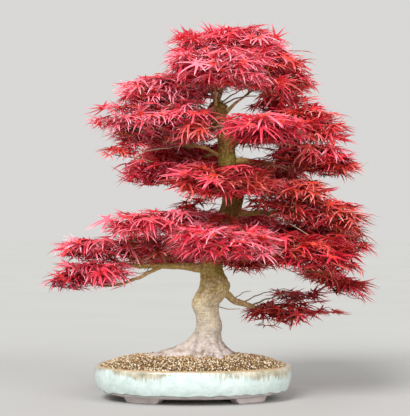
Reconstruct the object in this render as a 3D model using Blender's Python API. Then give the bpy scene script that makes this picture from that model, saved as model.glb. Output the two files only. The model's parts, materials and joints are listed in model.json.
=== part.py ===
"""Maple bonsai in an oval glazed pot, built as separate closed solids.

Each piece is named for what it is: the pot, the grit that fills it, the trunk, the boughs that
leave the trunk, and the masses of foliage that the boughs carry. Tables below are in millimetres
from the middle of the pot; meshes are in metres, +Z is up, and the feet stand on Z = 0. At the end
the whole plant is set over the middle of its own footprint.
"""

import random
from math import cos, hypot, pi, radians, sin
from typing import NamedTuple

import bmesh
import bpy
import numpy as np
from mathutils import Matrix, Vector

# Units and clearances
MM = 0.001
TOUCHING_GAP = 0.3
SPACE_MARGIN = 0.5
TWIG_CLEARANCE = 0.8
LEAF_CLEARANCE = 4.2

# Pot: an oval of stoneware, glazed above an unglazed base that tapers in to four feet
POT_HALF_LENGTH = 160.0
POT_HALF_WIDTH = 115.0
POT_OVAL_POWER = 2.2
POT_SIDES = 36
FOOT_HEIGHT = 8.0
GLAZE_LINE_HEIGHT = 15.0
RIM_HEIGHT = 56.0
FLOOR_HEIGHT = 16.5
FOOT_HEADINGS = (-44.0, 44.0, 128.0, -128.0)
FOOT_HALF_TURN = 18.0
FOOT_END_BEVEL = 6.0
FOOT_STATIONS = 5
DRAIN_HOLE_RADIUS = 8.0
DRAIN_HOLE_X = 62.0

# Grit: a low mound from just under the rim to the root flare
GRIT_EDGE_HEIGHT = 54.5
GRIT_MOUND = 17.5
GRIT_MOUND_POWER = 3.5
GRIT_RINGS = 3

# Trunk and roots
TRUNK_SIDES = 22
TRUNK_RING_SPACING = 17.0
ROOT_RING_SPACING = 8.0
ROOT_TOP = 125.0
SOIL_LINE = 74.0
ROOT_CURVE = 2.2
ROOT_LIMIT = 1.12

# Boughs and stems
BOUGH_SIDES = 5
BOUGH_STEPS = 4
STEM_STEPS = 3
STEM_LEAD = 4.0
STEM_ROOT_RADIUS = 2.4
STEM_TIP_RADIUS = 1.7
FORK_OFFSET = 1.9
FORK_RADIUS = 1.6
STALK_ROOT_RADIUS = 0.28
STALK_TIP_RADIUS = 0.9
TWIG_SIDES = 3

# Leaves: palmate stars of five lobes, larger than life because they are few
LEAF_LENGTH = 58.0
LEAF_SIZES = (1.0, 0.86, 0.72, 0.6)
LEAF_HALF_THICKNESS = 0.75
LEAF_NOTCH = 0.36
LEAF_HEEL = 0.10
LEAF_CUP = 0.18
LEAF_ROLL = 28.0
LEAF_SPACING = 56.0
LEAF_APART = 0.8
SHORTEST_STALK = 6.0
LONG_STALK = 34.0
STALK_RAKE = 26.0
GROWTH_TRIES = 4
FEWEST_LEAVES = 8
MOST_LEAVES = 9
FILL_TRIES = 400
JOIN_TRIES = 4
STEM_REACH = 0.3
SPACE_POWER = 4.0


class Station(NamedTuple):
    """A level of the trunk: its height, the middle of the wood there, and its thickness."""

    height: float
    x: float
    y: float
    thickness: float


class Root(NamedTuple):
    """A surface root: its heading in plan, its reach from the trunk's middle, its half spread."""

    heading: float
    reach: float
    spread: float


class Knot(NamedTuple):
    """A swelling on the trunk: its height, heading, how far it stands out, and its size."""

    height: float
    heading: float
    swell: float
    size: float


class Bough(NamedTuple):
    """A limb: what it leaves and where, its rise there in degrees, its tip and thicknesses.

    The place is a height on the trunk, or a share of the length of another bough.
    """

    name: str
    parent: str
    place: float
    rise: float
    tip: tuple
    root_thickness: float
    tip_thickness: float


class Mass(NamedTuple):
    """A mass of foliage: its limb, the middle and half sizes of its space, and its droop.

    The half sizes run outwards from the trunk, across that, and up.
    """

    name: str
    limb: str
    centre: tuple
    half: tuple
    droop: float


TRUNK = (
    Station(64, 30, 0, 46),
    Station(88, 27, 0, 44),
    Station(112, 24.5, -2, 41),
    Station(147, 22.5, -3, 44),
    Station(181, 34, -2, 46),
    Station(207, 31, 1, 35),
    Station(240, 39, 4, 31),
    Station(282, 50, 5, 33),
    Station(326, 65, 2, 33),
    Station(381, 55.5, -3, 29),
    Station(424, 52, -4, 28),
    Station(450, 41, -2, 20),
    Station(481, 39, 0, 14),
)

ROOTS = (
    Root(182, 92, 20),
    Root(238, 42, 22),
    Root(290, 48, 20),
    Root(348, 36, 22),
    Root(42, 50, 22),
    Root(98, 60, 20),
    Root(140, 46, 20),
)

KNOTS = (
    Knot(156, 185, 4, 15),
    Knot(186, 350, 5, 14),
    Knot(252, 130, 4, 11),
    Knot(300, 70, 5, 12),
    Knot(345, 215, 4, 11),
    Knot(424, 350, 6, 9),
)

BOUGHS = (
    Bough("bough_low_right", "trunk", 182, -32, (100, 4, 148), 14, 8),
    Bough("bough_low_left", "trunk", 212, 2, (-100, 2, 217), 15, 8),
    Bough("bough_low_left_fork", "bough_low_left", 0.62, -28, (-122, -14, 186), 6, 5),
    Bough("bough_low_back", "trunk", 240, 12, (-8, 72, 236), 12, 7),
    Bough("bough_low_front", "trunk", 244, 6, (48, -76, 256), 12, 7),
    Bough("bough_right_sweep", "trunk", 231, -4, (142, -22, 222), 13, 8),
    Bough("bough_right_behind", "trunk", 266, 6, (134, 42, 266), 12, 7),
    Bough("bough_left_second", "trunk", 280, 5, (2, -20, 284), 12, 7),
    Bough("bough_back_second", "trunk", 288, 8, (54, 74, 290), 12, 7),
    Bough("bough_right_second", "trunk", 300, 6, (150, -14, 304), 11, 7),
    Bough("bough_right_thin", "trunk", 332, 4, (108, -24, 338), 9, 6),
    Bough("bough_front_middle", "trunk", 342, 10, (50, -64, 348), 11, 7),
    Bough("bough_left_middle", "trunk", 356, 8, (14, -6, 364), 11, 7),
    Bough("bough_back_right", "trunk", 354, 8, (90, 68, 362), 11, 7),
    Bough("bough_right_middle", "trunk", 386, 12, (142, 1, 380), 12, 7),
    Bough("bough_left_upper", "trunk", 384, 30, (-50, 4, 402), 11, 7),
    Bough("bough_back_left", "trunk", 398, 12, (20, 64, 398), 10, 6),
    Bough("bough_right_upper", "trunk", 416, 14, (126, 2, 440), 11, 7),
    Bough("bough_front_upper", "trunk", 428, 10, (84, -60, 436), 9, 6),
    Bough("bough_back_upper", "trunk", 436, 10, (70, 56, 440), 9, 6),
    Bough("bough_left_top", "trunk", 454, 32, (-10, 0, 488), 8, 5),
    Bough("bough_right_top", "trunk", 458, 26, (112, 2, 508), 8, 6),
    Bough("bough_crown_front", "trunk", 468, 34, (30, -34, 524), 7, 6),
    Bough("bough_crown_back", "trunk", 464, 34, (46, 44, 524), 7, 6),
    Bough("bough_crown_top", "trunk", 476, 76, (64, -4, 536), 9, 6),
)

MASSES = (
    Mass("leaves_low_right", "bough_low_right", (158, 0, 146), (84, 62, 37), 4),
    Mass("leaves_low_right_back", "bough_low_right", (176, 108, 176), (74, 60, 27), 3),
    Mass("leaves_low_left", "bough_low_left", (-136, 12, 237), (102, 64, 30), 4),
    Mass("leaves_low_left_tip", "bough_low_left_fork", (-174, -30, 204), (80, 58, 31), 8),
    Mass("leaves_low_back", "bough_low_back", (-38, 128, 234), (84, 88, 30), 4),
    Mass("leaves_low_front", "bough_low_front", (50, -132, 256), (86, 88, 31), 3),
    Mass("leaves_low_front_under", "trunk", (80, -56, 220), (54, 56, 24), 4),
    Mass("leaves_right_sweep_tip", "bough_right_sweep", (236, -18, 190), (68, 56, 33), 8),
    Mass("leaves_right_sweep_front", "bough_right_sweep", (196, -92, 237), (88, 62, 34), 6),
    Mass("leaves_right_behind", "bough_right_behind", (204, 70, 260), (92, 70, 34), 3),
    Mass("leaves_left_second", "bough_left_second", (-66, -46, 285), (106, 68, 30), 2),
    Mass("leaves_back_second", "bough_back_second", (60, 148, 288), (88, 94, 34), 2),
    Mass("leaves_right_second", "bough_right_second", (220, -32, 303), (82, 70, 28), 3),
    Mass("leaves_right_thin", "bough_right_thin", (166, -56, 340), (94, 60, 24), 2),
    Mass("leaves_front_middle", "bough_front_middle", (44, -114, 348), (78, 80, 31), 3),
    Mass("leaves_left_middle", "bough_left_middle", (-46, -12, 370), (92, 66, 31), 2),
    Mass("leaves_back_right", "bough_back_right", (120, 132, 360), (82, 84, 31), 2),
    Mass("leaves_right_middle", "bough_right_middle", (200, 6, 384), (86, 68, 37), 3),
    Mass("leaves_left_upper", "trunk", (-50, 24, 425), (92, 66, 31), 2),
    Mass("leaves_left_upper_tip", "bough_left_upper", (-100, -24, 453), (78, 62, 30), 3),
    Mass("leaves_back_left", "bough_back_left", (-20, 124, 390), (84, 84, 31), 2),
    Mass("leaves_right_upper_tip", "bough_right_upper", (197, -12, 445), (72, 62, 35), 4),
    Mass("leaves_right_upper_back", "bough_right_upper", (162, 30, 480), (68, 64, 30), 0),
    Mass("leaves_front_upper", "bough_front_upper", (108, -102, 434), (68, 70, 31), 3),
    Mass("leaves_back_upper", "bough_back_upper", (96, 110, 438), (74, 74, 29), 2),
    Mass("leaves_left_top", "bough_left_top", (-54, 0, 500), (82, 66, 31), 2),
    Mass("leaves_back_top", "bough_crown_back", (-22, 102, 508), (74, 76, 31), 2),
    Mass("leaves_right_top", "bough_right_top", (154, 2, 535), (56, 62, 42), 0),
    Mass("leaves_crown_front", "bough_crown_front", (38, -62, 532), (78, 88, 31), 2),
    Mass("leaves_crown_left", "bough_crown_front", (16, 2, 575), (68, 66, 34), 0),
    Mass("leaves_crown_right", "bough_crown_top", (106, -8, 577), (68, 68, 34), 0),
    Mass("leaves_crown_back", "bough_crown_back", (78, 86, 556), (76, 80, 35), 0),
)

# How far above its mass's middle a stem leaves where it springs from the trunk itself
TRUNK_STEM_LIFT = 8.0

# Lobes of a leaf: angle from the middle lobe, and length as a share of it
LEAF_LOBES = ((0.0, 1.0), (46.0, 0.9), (98.0, 0.72))

# Colour, roughness of each material
FINISHES = {
    "glazed_stoneware": ((0.62, 0.72, 0.66), 0.25),
    "grit": ((0.44, 0.31, 0.18), 0.95),
    "bark": ((0.33, 0.26, 0.20), 0.85),
    "bough_bark": ((0.27, 0.25, 0.12), 0.85),
    "maple_leaves": ((0.56, 0.05, 0.08), 0.55),
}


def make_material(name):
    """Make the plain finish of one kind of piece."""
    colour, roughness = FINISHES[name]
    material = bpy.data.materials.new(name)
    material.use_nodes = True
    shader = material.node_tree.nodes["Principled BSDF"]
    shader.inputs["Base Color"].default_value = (*colour, 1.0)
    shader.inputs["Roughness"].default_value = roughness
    shader.inputs["Metallic"].default_value = 0.0
    return material


def make_object(name, points, faces, material):
    """Make a mesh object of triangles from points in millimetres, its faces turned outwards."""
    mesh = bpy.data.meshes.new(name)
    mesh.from_pydata([Vector(point) * MM for point in points], [], faces)
    work = bmesh.new()
    work.from_mesh(mesh)
    bmesh.ops.triangulate(work, faces=work.faces)
    bmesh.ops.recalc_face_normals(work, faces=work.faces)
    work.to_mesh(mesh)
    work.free()
    mesh.materials.append(material)
    piece = bpy.data.objects.new(name, mesh)
    bpy.context.collection.objects.link(piece)
    return piece


def shade_round(piece, sharp_angle=40.0):
    """Shade a piece smooth, keeping its sharp edges."""
    piece.data.shade_smooth()
    piece.data.set_sharp_from_angle(angle=radians(sharp_angle))


def apply_modifiers(piece):
    """Make a piece's evaluated shape its own mesh."""
    bpy.context.view_layer.update()
    graph = bpy.context.evaluated_depsgraph_get()
    shaped = bpy.data.meshes.new_from_object(piece.evaluated_get(graph))
    old = piece.data
    piece.modifiers.clear()
    piece.data = shaped
    shaped.name = piece.name
    bpy.data.meshes.remove(old)


def cut_away(piece, cutter):
    """Cut one piece by another, which is then removed."""
    cutter.hide_render = True
    cutter.display_type = "WIRE"
    cut = piece.modifiers.new("cut", "BOOLEAN")
    cut.operation = "DIFFERENCE"
    cut.solver = "EXACT"
    cut.object = cutter
    apply_modifiers(piece)
    bpy.data.objects.remove(cutter)


def join_pieces(base, pieces):
    """Join pieces to a base with one Boolean union on a collection, and remove them."""
    parts = bpy.data.collections.new(base.name + "_pieces")
    bpy.context.scene.collection.children.link(parts)
    for piece in pieces:
        for holder in list(piece.users_collection):
            holder.objects.unlink(piece)
        parts.objects.link(piece)
    union = base.modifiers.new("join", "BOOLEAN")
    union.operation = "UNION"
    union.operand_type = "COLLECTION"
    union.collection = parts
    union.solver = "EXACT"
    apply_modifiers(base)
    for piece in pieces:
        bpy.data.objects.remove(piece)
    bpy.data.collections.remove(parts)
    keep_largest_shell(base)


def keep_largest_shell(piece):
    """Drop loose scraps, and fill sealed hollows by dropping the shells that line them."""
    work = bmesh.new()
    work.from_mesh(piece.data)
    bmesh.ops.triangulate(work, faces=work.faces)
    work.faces.ensure_lookup_table()
    unseen = set(work.faces)
    shells = []
    while unseen:
        shell = [unseen.pop()]
        for face in shell:
            for edge in face.edges:
                for neighbour in edge.link_faces:
                    if neighbour in unseen:
                        unseen.remove(neighbour)
                        shell.append(neighbour)
        shells.append(shell)
    shells.sort(key=len, reverse=True)
    loose = [face for shell in shells[1:] for face in shell]
    bmesh.ops.delete(work, geom=loose, context="FACES")
    work.to_mesh(piece.data)
    work.free()


def is_closed(piece):
    """Whether two faces, and no more, meet at each edge of a piece."""
    work = bmesh.new()
    work.from_mesh(piece.data)
    closed = all(len(edge.link_faces) == 2 for edge in work.edges)
    work.free()
    return closed


def oval_point(inset, angle, height):
    """A point of the pot's oval, set in from its widest outline, at an angle and a height."""
    across = abs(cos(angle)) ** (2.0 / POT_OVAL_POWER)
    along = abs(sin(angle)) ** (2.0 / POT_OVAL_POWER)
    x = (POT_HALF_LENGTH - inset) * across * (1.0 if cos(angle) >= 0.0 else -1.0)
    y = (POT_HALF_WIDTH - inset) * along * (1.0 if sin(angle) >= 0.0 else -1.0)
    return (x, y, height)


def oval_shell(name, profile, material):
    """A closed solid of oval rings, from the first ring's middle to the last ring's middle."""
    points = []
    for inset, height in profile:
        points += [oval_point(inset, 2.0 * pi * side / POT_SIDES, height) for side in range(POT_SIDES)]
    faces = []
    for ring in range(len(profile) - 1):
        for side in range(POT_SIDES):
            after = (side + 1) % POT_SIDES
            low = ring * POT_SIDES
            high = low + POT_SIDES
            faces.append((low + side, low + after, high + after, high + side))
    faces.append(tuple(reversed(range(POT_SIDES))))
    last = (len(profile) - 1) * POT_SIDES
    faces.append(tuple(last + side for side in range(POT_SIDES)))
    return make_object(name, points, faces, material)


def pot_wall_inside():
    """The inside of the pot, from lip to floor, as insets and heights."""
    return (
        (9.0, RIM_HEIGHT - 1.5),
        (10.5, RIM_HEIGHT - 6.0),
        (12.0, RIM_HEIGHT - 20.0),
        (15.0, FLOOR_HEIGHT + 7.0),
        (24.0, FLOOR_HEIGHT),
    )


def pot_foot(heading, material):
    """One bevelled foot that follows the oval under the pot."""
    top = FOOT_HEIGHT + 5.0
    points = []
    for station in range(FOOT_STATIONS):
        share = 2.0 * station / (FOOT_STATIONS - 1) - 1.0
        for inset, height, shorten in ((27.0, top, 0.0), (31.0, 0.0, FOOT_END_BEVEL),
                                       (47.0, 0.0, FOOT_END_BEVEL), (50.0, top, 0.0)):
            turn = radians(heading + share * (FOOT_HALF_TURN - shorten))
            points.append(oval_point(inset, turn, height))
    faces = [(0, 1, 2, 3), tuple(4 * (FOOT_STATIONS - 1) + corner for corner in (3, 2, 1, 0))]
    for station in range(FOOT_STATIONS - 1):
        low = 4 * station
        for corner in range(4):
            after = (corner + 1) % 4
            faces.append((low + corner, low + after, low + 4 + after, low + 4 + corner))
    return make_object("foot", points, faces, material)


def build_pot(material):
    """The oval pot: bulging wall, rounded lip, tapering base, four feet and two drain holes."""
    outside = (
        (30.0, FOOT_HEIGHT),
        (24.0, FOOT_HEIGHT + 1.5),
        (8.5, GLAZE_LINE_HEIGHT),
        (4.0, GLAZE_LINE_HEIGHT + 6.0),
        (0.8, GLAZE_LINE_HEIGHT + 16.0),
        (0.0, RIM_HEIGHT - 14.0),
        (1.0, RIM_HEIGHT - 4.0),
        (3.5, RIM_HEIGHT - 0.6),
        (6.0, RIM_HEIGHT),
    )
    pot = oval_shell("pot", outside + pot_wall_inside(), material)
    join_pieces(pot, [pot_foot(heading, material) for heading in FOOT_HEADINGS])
    for x in (-DRAIN_HOLE_X, DRAIN_HOLE_X):
        drill = tube("drill", [(x, 0, FOOT_HEIGHT - 4), (x, 0, FLOOR_HEIGHT + 4)],
                     [DRAIN_HOLE_RADIUS] * 2, 16, material)
        cut_away(pot, drill)
    shade_round(pot)
    return pot


def grit_height(inset):
    """Height of the grit's mound at an inset from the pot's widest outline."""
    outer = pot_wall_inside()[0][0] + TOUCHING_GAP
    share = (POT_HALF_WIDTH - inset) / (POT_HALF_WIDTH - outer)
    return GRIT_EDGE_HEIGHT + GRIT_MOUND * (1.0 - max(share, 0.0) ** GRIT_MOUND_POWER)


def build_grit(material):
    """The grit that fills the pot, with a pocket for the root flare."""
    wall = [(inset + TOUCHING_GAP, height + TOUCHING_GAP) for inset, height in pot_wall_inside()]
    edge = wall[0][0] + 0.8
    profile = [(inset, height) for inset, height in reversed(wall[1:])]
    profile.append((edge, GRIT_EDGE_HEIGHT - 1.5))
    step = (POT_HALF_WIDTH - 14.0 - edge) / GRIT_RINGS
    profile += [(edge + 0.5 + step * ring, grit_height(edge + 0.5 + step * ring))
                for ring in range(GRIT_RINGS + 1)]
    grit = oval_shell("grit", profile, material)
    cut_away(grit, trunk_solid("trunk_grown", TOUCHING_GAP, material))
    shade_round(grit)
    return grit


def spline(values, position):
    """Read a smooth curve through a row of values at a position counted in rows."""
    index = min(int(position), len(values) - 2)
    share = position - index
    before = values[max(index - 1, 0)]
    here = values[index]
    after = values[index + 1]
    beyond = values[min(index + 2, len(values) - 1)]
    return 0.5 * (2.0 * here + (after - before) * share
                  + (2.0 * before - 5.0 * here + 4.0 * after - beyond) * share ** 2
                  + (3.0 * here - before - 3.0 * after + beyond) * share ** 3)


def trunk_at(height):
    """The middle of the trunk and its radius at a height."""
    row = 0
    while row < len(TRUNK) - 2 and TRUNK[row + 1].height < height:
        row += 1
    low = TRUNK[row].height
    position = row + (height - low) / (TRUNK[row + 1].height - low)
    position = min(max(position, 0.0), len(TRUNK) - 1.0)
    x = spline([station.x for station in TRUNK], position)
    y = spline([station.y for station in TRUNK], position)
    thickness = spline([station.thickness for station in TRUNK], position)
    return x, y, 0.5 * thickness


def turn_between(first, second):
    """The angle between two headings in degrees, the short way round."""
    return abs((first - second + 180.0) % 360.0 - 180.0)


def trunk_radius(height, heading):
    """The trunk's radius at a height and a heading, with its roots and knots."""
    radius = trunk_at(height)[2]
    flare = max(ROOT_TOP - height, 0.0) / (ROOT_TOP - SOIL_LINE)
    flare = min(flare ** ROOT_CURVE, ROOT_LIMIT)
    swell = 0.0
    for root in ROOTS:
        lobe = 2.0 ** -((turn_between(heading, root.heading) / root.spread) ** 2)
        swell = max(swell, (root.reach - radius) * lobe * flare)
    radius += swell
    for knot in KNOTS:
        across = radians(turn_between(heading, knot.heading)) * radius
        radius += knot.swell * 2.0 ** -((hypot(across, height - knot.height) / knot.size) ** 2)
    return radius


def trunk_solid(name, grow, material):
    """The trunk as one solid, grown outwards by a clearance where it cuts another piece."""
    heights = [TRUNK[0].height]
    while heights[-1] < TRUNK[-1].height - 1.0:
        step = ROOT_RING_SPACING if heights[-1] < ROOT_TOP else TRUNK_RING_SPACING
        heights.append(min(heights[-1] + step, TRUNK[-1].height))
    points = []
    for ring, height in enumerate(heights):
        x, y, _ = trunk_at(height)
        level = height + grow if ring else height - grow
        for side in range(TRUNK_SIDES):
            heading = 360.0 * side / TRUNK_SIDES
            radius = trunk_radius(height, heading) + grow
            points.append((x + radius * cos(radians(heading)), y + radius * sin(radians(heading)), level))
    faces = []
    for ring in range(len(heights) - 1):
        low = ring * TRUNK_SIDES
        for side in range(TRUNK_SIDES):
            after = (side + 1) % TRUNK_SIDES
            faces.append((low + side, low + after, low + TRUNK_SIDES + after, low + TRUNK_SIDES + side))
    faces.append(tuple(reversed(range(TRUNK_SIDES))))
    last = (len(heights) - 1) * TRUNK_SIDES
    faces.append(tuple(last + side for side in range(TRUNK_SIDES)))
    return make_object(name, points, faces, material)


def tube(name, path, radii, sides, material):
    """A closed tube along a path, with a radius at each point and flat ends."""
    path = [Vector(point) for point in path]
    across = None
    points = []
    for index, point in enumerate(path):
        before = path[max(index - 1, 0)]
        after = path[min(index + 1, len(path) - 1)]
        along = (after - before).normalized()
        if across is None:
            helper = Vector((0, 0, 1)) if abs(along.z) < 0.9 else Vector((1, 0, 0))
            across = along.cross(helper).normalized()
        across = (across - along * across.dot(along)).normalized()
        up = along.cross(across)
        for side in range(sides):
            angle = 2.0 * pi * side / sides
            points.append(point + (across * cos(angle) + up * sin(angle)) * radii[index])
    faces = []
    for ring in range(len(path) - 1):
        low = ring * sides
        for side in range(sides):
            after = (side + 1) % sides
            faces.append((low + side, low + after, low + sides + after, low + sides + side))
    faces.append(tuple(reversed(range(sides))))
    faces.append(tuple((len(path) - 1) * sides + side for side in range(sides)))
    return make_object(name, points, faces, material)


def curve_path(start, leave, end, arrive, steps):
    """Points of a curve that leaves and arrives along given directions."""
    reach = (end - start).length
    first = start + leave * reach * 0.38
    second = end - arrive * reach * 0.34
    path = []
    for step in range(steps + 1):
        share = step / steps
        rest = 1.0 - share
        path.append(start * rest ** 3 + first * 3 * rest ** 2 * share
                    + second * 3 * rest * share ** 2 + end * share ** 3)
    return path


def taper(first, last, count):
    """Radii from one to another, evenly."""
    return [first + (last - first) * index / (count - 1) for index in range(count)]


class Limb:
    """A limb's path and radii in millimetres."""

    def __init__(self, path, radii):
        self.path = path
        self.radii = radii

    def place(self, share):
        """The point at a share of the limb's length."""
        position = share * (len(self.path) - 1)
        index = min(int(position), len(self.path) - 2)
        return self.path[index].lerp(self.path[index + 1], position - index)

    def tip_direction(self):
        """The direction in which the limb ends."""
        return (self.path[-1] - self.path[-2]).normalized()


def trunk_limb():
    """The trunk as a path, for clearances and for what leaves it."""
    heights = np.arange(TRUNK[0].height, TRUNK[-1].height + 1.0, TRUNK_RING_SPACING)
    path = [Vector((*trunk_at(height)[:2], height)) for height in heights]
    return Limb(path, [trunk_at(height)[2] for height in heights])


def place_boughs():
    """Work out the path of every bough."""
    limbs = {"trunk": trunk_limb()}
    for bough in BOUGHS:
        if bough.parent == "trunk":
            start = Vector((*trunk_at(bough.place)[:2], bough.place))
        else:
            start = limbs[bough.parent].place(bough.place)
        tip = Vector(bough.tip)
        level = Vector((tip.x - start.x, tip.y - start.y, 0.0)).normalized()
        leave = level * cos(radians(bough.rise)) + Vector((0, 0, sin(radians(bough.rise))))
        arrive = ((tip - start).normalized() + level).normalized()
        path = curve_path(start, leave, tip, arrive, BOUGH_STEPS)
        radii = taper(0.5 * bough.root_thickness, 0.5 * bough.tip_thickness, len(path))
        limbs[bough.name] = Limb(path, radii)
    return limbs


def place_stems(limbs):
    """Work out the stem of every mass, from its limb's tip or the trunk to beyond its middle."""
    sharing = {}
    for mass in MASSES:
        sharing.setdefault(mass.limb, []).append(mass.name)
    stems = {}
    for mass in MASSES:
        centre = Vector(mass.centre)
        limb = limbs[mass.limb]
        if mass.limb == "trunk":
            height = centre.z + TRUNK_STEM_LIFT
            x, y, _ = trunk_at(height)
            leave = Vector((centre.x - x, centre.y - y, 0.0)).normalized()
            heading = np.degrees(np.arctan2(leave.y, leave.x))
            start = Vector((x, y, height)) + leave * (trunk_radius(height, heading) + TOUCHING_GAP)
        else:
            leave = limb.tip_direction()
            start = limb.path[-1] + leave * TOUCHING_GAP
            if len(sharing[mass.limb]) > 1:
                others = [Vector(other.centre) for other in MASSES
                          if other.limb == mass.limb and other.name != mass.name]
                aside = centre - others[0]
                aside = (aside - leave * aside.dot(leave)).normalized()
                start += aside * FORK_OFFSET
        outward = space_axes(mass)[0]
        end = centre + Vector(outward) * mass.half[0] * STEM_REACH
        arrive = (Vector(outward) + (end - start).normalized()).normalized()
        path = [start] + curve_path(start + leave * STEM_LEAD, leave, end, arrive, STEM_STEPS)
        root_radius = FORK_RADIUS if len(sharing[mass.limb]) > 1 else STEM_ROOT_RADIUS
        stems[mass.name] = Limb(path, taper(root_radius, STEM_TIP_RADIUS, len(path)))
    return stems


def space_axes(mass):
    """The three axes of a mass's space: outwards from the trunk with its droop, across, and up."""
    height = min(max(mass.centre[2], TRUNK[0].height), TRUNK[-1].height)
    x, y, _ = trunk_at(height)
    heading = np.arctan2(mass.centre[1] - y, mass.centre[0] - x)
    droop = radians(mass.droop)
    outward = np.array((cos(heading) * cos(droop), sin(heading) * cos(droop), -sin(droop)))
    across = np.array((-sin(heading), cos(heading), 0.0))
    return np.array((outward, across, np.cross(outward, across)))


class Space:
    """The convex room that one mass keeps to: a rounded block cut by planes to its neighbours."""

    def __init__(self, mass):
        self.centre = np.array(mass.centre, dtype=float)
        self.half = np.array(mass.half, dtype=float)
        self.axes = space_axes(mass)
        self.planes = []

    def spread(self):
        """The matrix whose square root gives the block's reach in any direction."""
        return self.axes.T @ np.diag(self.half ** 2) @ self.axes

    def divide(self, other):
        """Share the room between two blocks with one plane."""
        apart = other.centre - self.centre
        normal = np.linalg.solve(self.spread() + other.spread(), apart)
        normal /= np.linalg.norm(normal)
        reach = np.sqrt(normal @ self.spread() @ normal)
        other_reach = np.sqrt(normal @ other.spread() @ normal)
        level = normal @ self.centre + (normal @ apart) * reach / (reach + other_reach)
        self.planes.append((normal, level - SPACE_MARGIN))

    def holds(self, points):
        """Whether all of some points lie in the room."""
        local = (points - self.centre) @ self.axes.T / self.half
        if ((np.abs(local) ** SPACE_POWER).sum(axis=1) > 1.0).any():
            return False
        return all((points @ normal < level).all() for normal, level in self.planes)

    def edge(self, angle):
        """The distance from the middle to the block's edge in its own plan."""
        along = abs(cos(angle) / self.half[0]) ** SPACE_POWER
        across = abs(sin(angle) / self.half[1]) ** SPACE_POWER
        return (along + across) ** (-1.0 / SPACE_POWER)

    def point(self, outward, across, up):
        """A point of the block from its own measures."""
        return self.centre + self.axes[0] * outward + self.axes[1] * across + self.axes[2] * up


def segment_gaps(starts, ends, other_starts, other_ends):
    """Distances between two sets of straight segments, as a table."""
    first = (ends - starts)[:, None]
    second = (other_ends - other_starts)[None]
    apart = starts[:, None] - other_starts[None]
    first_square = (first * first).sum(-1)
    second_square = (second * second).sum(-1)
    both = (first * second).sum(-1)
    first_apart = (first * apart).sum(-1)
    second_apart = (second * apart).sum(-1)
    spread = np.maximum(first_square * second_square - both * both, 1e-9)
    share = np.clip((both * second_apart - first_apart * second_square) / spread, 0.0, 1.0)
    other_share = np.clip((both * share + second_apart) / second_square, 0.0, 1.0)
    share = np.clip((both * other_share - first_apart) / first_square, 0.0, 1.0)
    nearest = apart + first * share[..., None] - second * other_share[..., None]
    return np.linalg.norm(nearest, axis=-1)


def any_crosses(starts, ends, blades):
    """Whether any straight segment passes through any of some triangles."""
    corner = blades[None, :, 0]
    first = blades[None, :, 1] - corner
    second = blades[None, :, 2] - corner
    along = (ends - starts)[:, None]
    across = np.cross(along, second)
    facing = (first * across).sum(-1)
    facing = np.where(np.abs(facing) < 1e-9, 1e-9, facing)
    apart = starts[:, None] - corner
    turned = np.cross(apart, first)
    one = (apart * across).sum(-1) / facing
    two = (along * turned).sum(-1) / facing
    reach = (second * turned).sum(-1) / facing
    return bool(((one > 0) & (two > 0) & (one + two < 1) & (reach > 0) & (reach < 1)).any())


class Obstacles:
    """The limbs and stems that the twigs and leaves of a mass keep clear of."""

    def __init__(self, limbs):
        starts = []
        ends = []
        radii = []
        for limb in limbs:
            starts += [tuple(point) for point in limb.path[:-1]]
            ends += [tuple(point) for point in limb.path[1:]]
            radii += [max(pair) for pair in zip(limb.radii[:-1], limb.radii[1:])]
        self.starts = np.array(starts)
        self.ends = np.array(ends)
        self.radii = np.array(radii)

    def clear(self, starts, ends, margin):
        """Whether segments keep a margin to every limb."""
        gaps = segment_gaps(starts, ends, self.starts, self.ends)
        return bool((gaps > self.radii[None] + margin).all())


def leaf_outline():
    """The lobes and notches of a leaf of unit length, round its middle from right to left."""
    lobes = [(-angle, length) for angle, length in reversed(LEAF_LOBES[1:])] + list(LEAF_LOBES)
    rim = []
    for index, (angle, length) in enumerate(lobes):
        rim.append((angle, length))
        if index < len(lobes) - 1:
            rim.append((0.5 * (angle + lobes[index + 1][0]), LEAF_NOTCH))
    return [(length * cos(radians(angle)), length * sin(radians(angle)), -LEAF_CUP * length ** 2)
            for angle, length in rim]


LEAF_RIM = np.array(leaf_outline())


class Leaf(NamedTuple):
    """A placed leaf: its middle, its axes as rows, and its length."""

    base: np.ndarray
    axes: np.ndarray
    length: float

    def rim(self):
        """The points of the leaf's rim."""
        return self.base + (LEAF_RIM * self.length) @ self.axes

    def heel(self):
        """Where the leaf's stalk meets it."""
        return self.base - self.axes[0] * LEAF_HEEL * self.length

    def lines(self):
        """The leaf's ribs and its rim, as the starts and ends of straight segments."""
        rim = np.concatenate((self.rim(), self.heel()[None]))
        starts = np.concatenate((np.repeat(self.base[None], len(rim), axis=0), rim))
        return starts, np.concatenate((rim, np.roll(rim, -1, axis=0)))

    def blades(self):
        """The leaf's face as triangles that meet at its middle."""
        rim = np.concatenate((self.rim(), self.heel()[None]))
        middle = np.repeat(self.base[None], len(rim), axis=0)
        return np.stack((middle, rim, np.roll(rim, -1, axis=0)), axis=1)


def leaf_axes(heading, droop, roll):
    """A leaf's axes: forwards along a heading and drooping, across, and out of its face."""
    forward = np.array((cos(heading) * cos(droop), sin(heading) * cos(droop), -sin(droop)))
    across = np.array((-sin(heading), cos(heading), 0.0))
    face = np.cross(forward, across)
    rolled = across * cos(roll) + face * sin(roll)
    return np.array((forward, rolled, np.cross(forward, rolled)))


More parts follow.
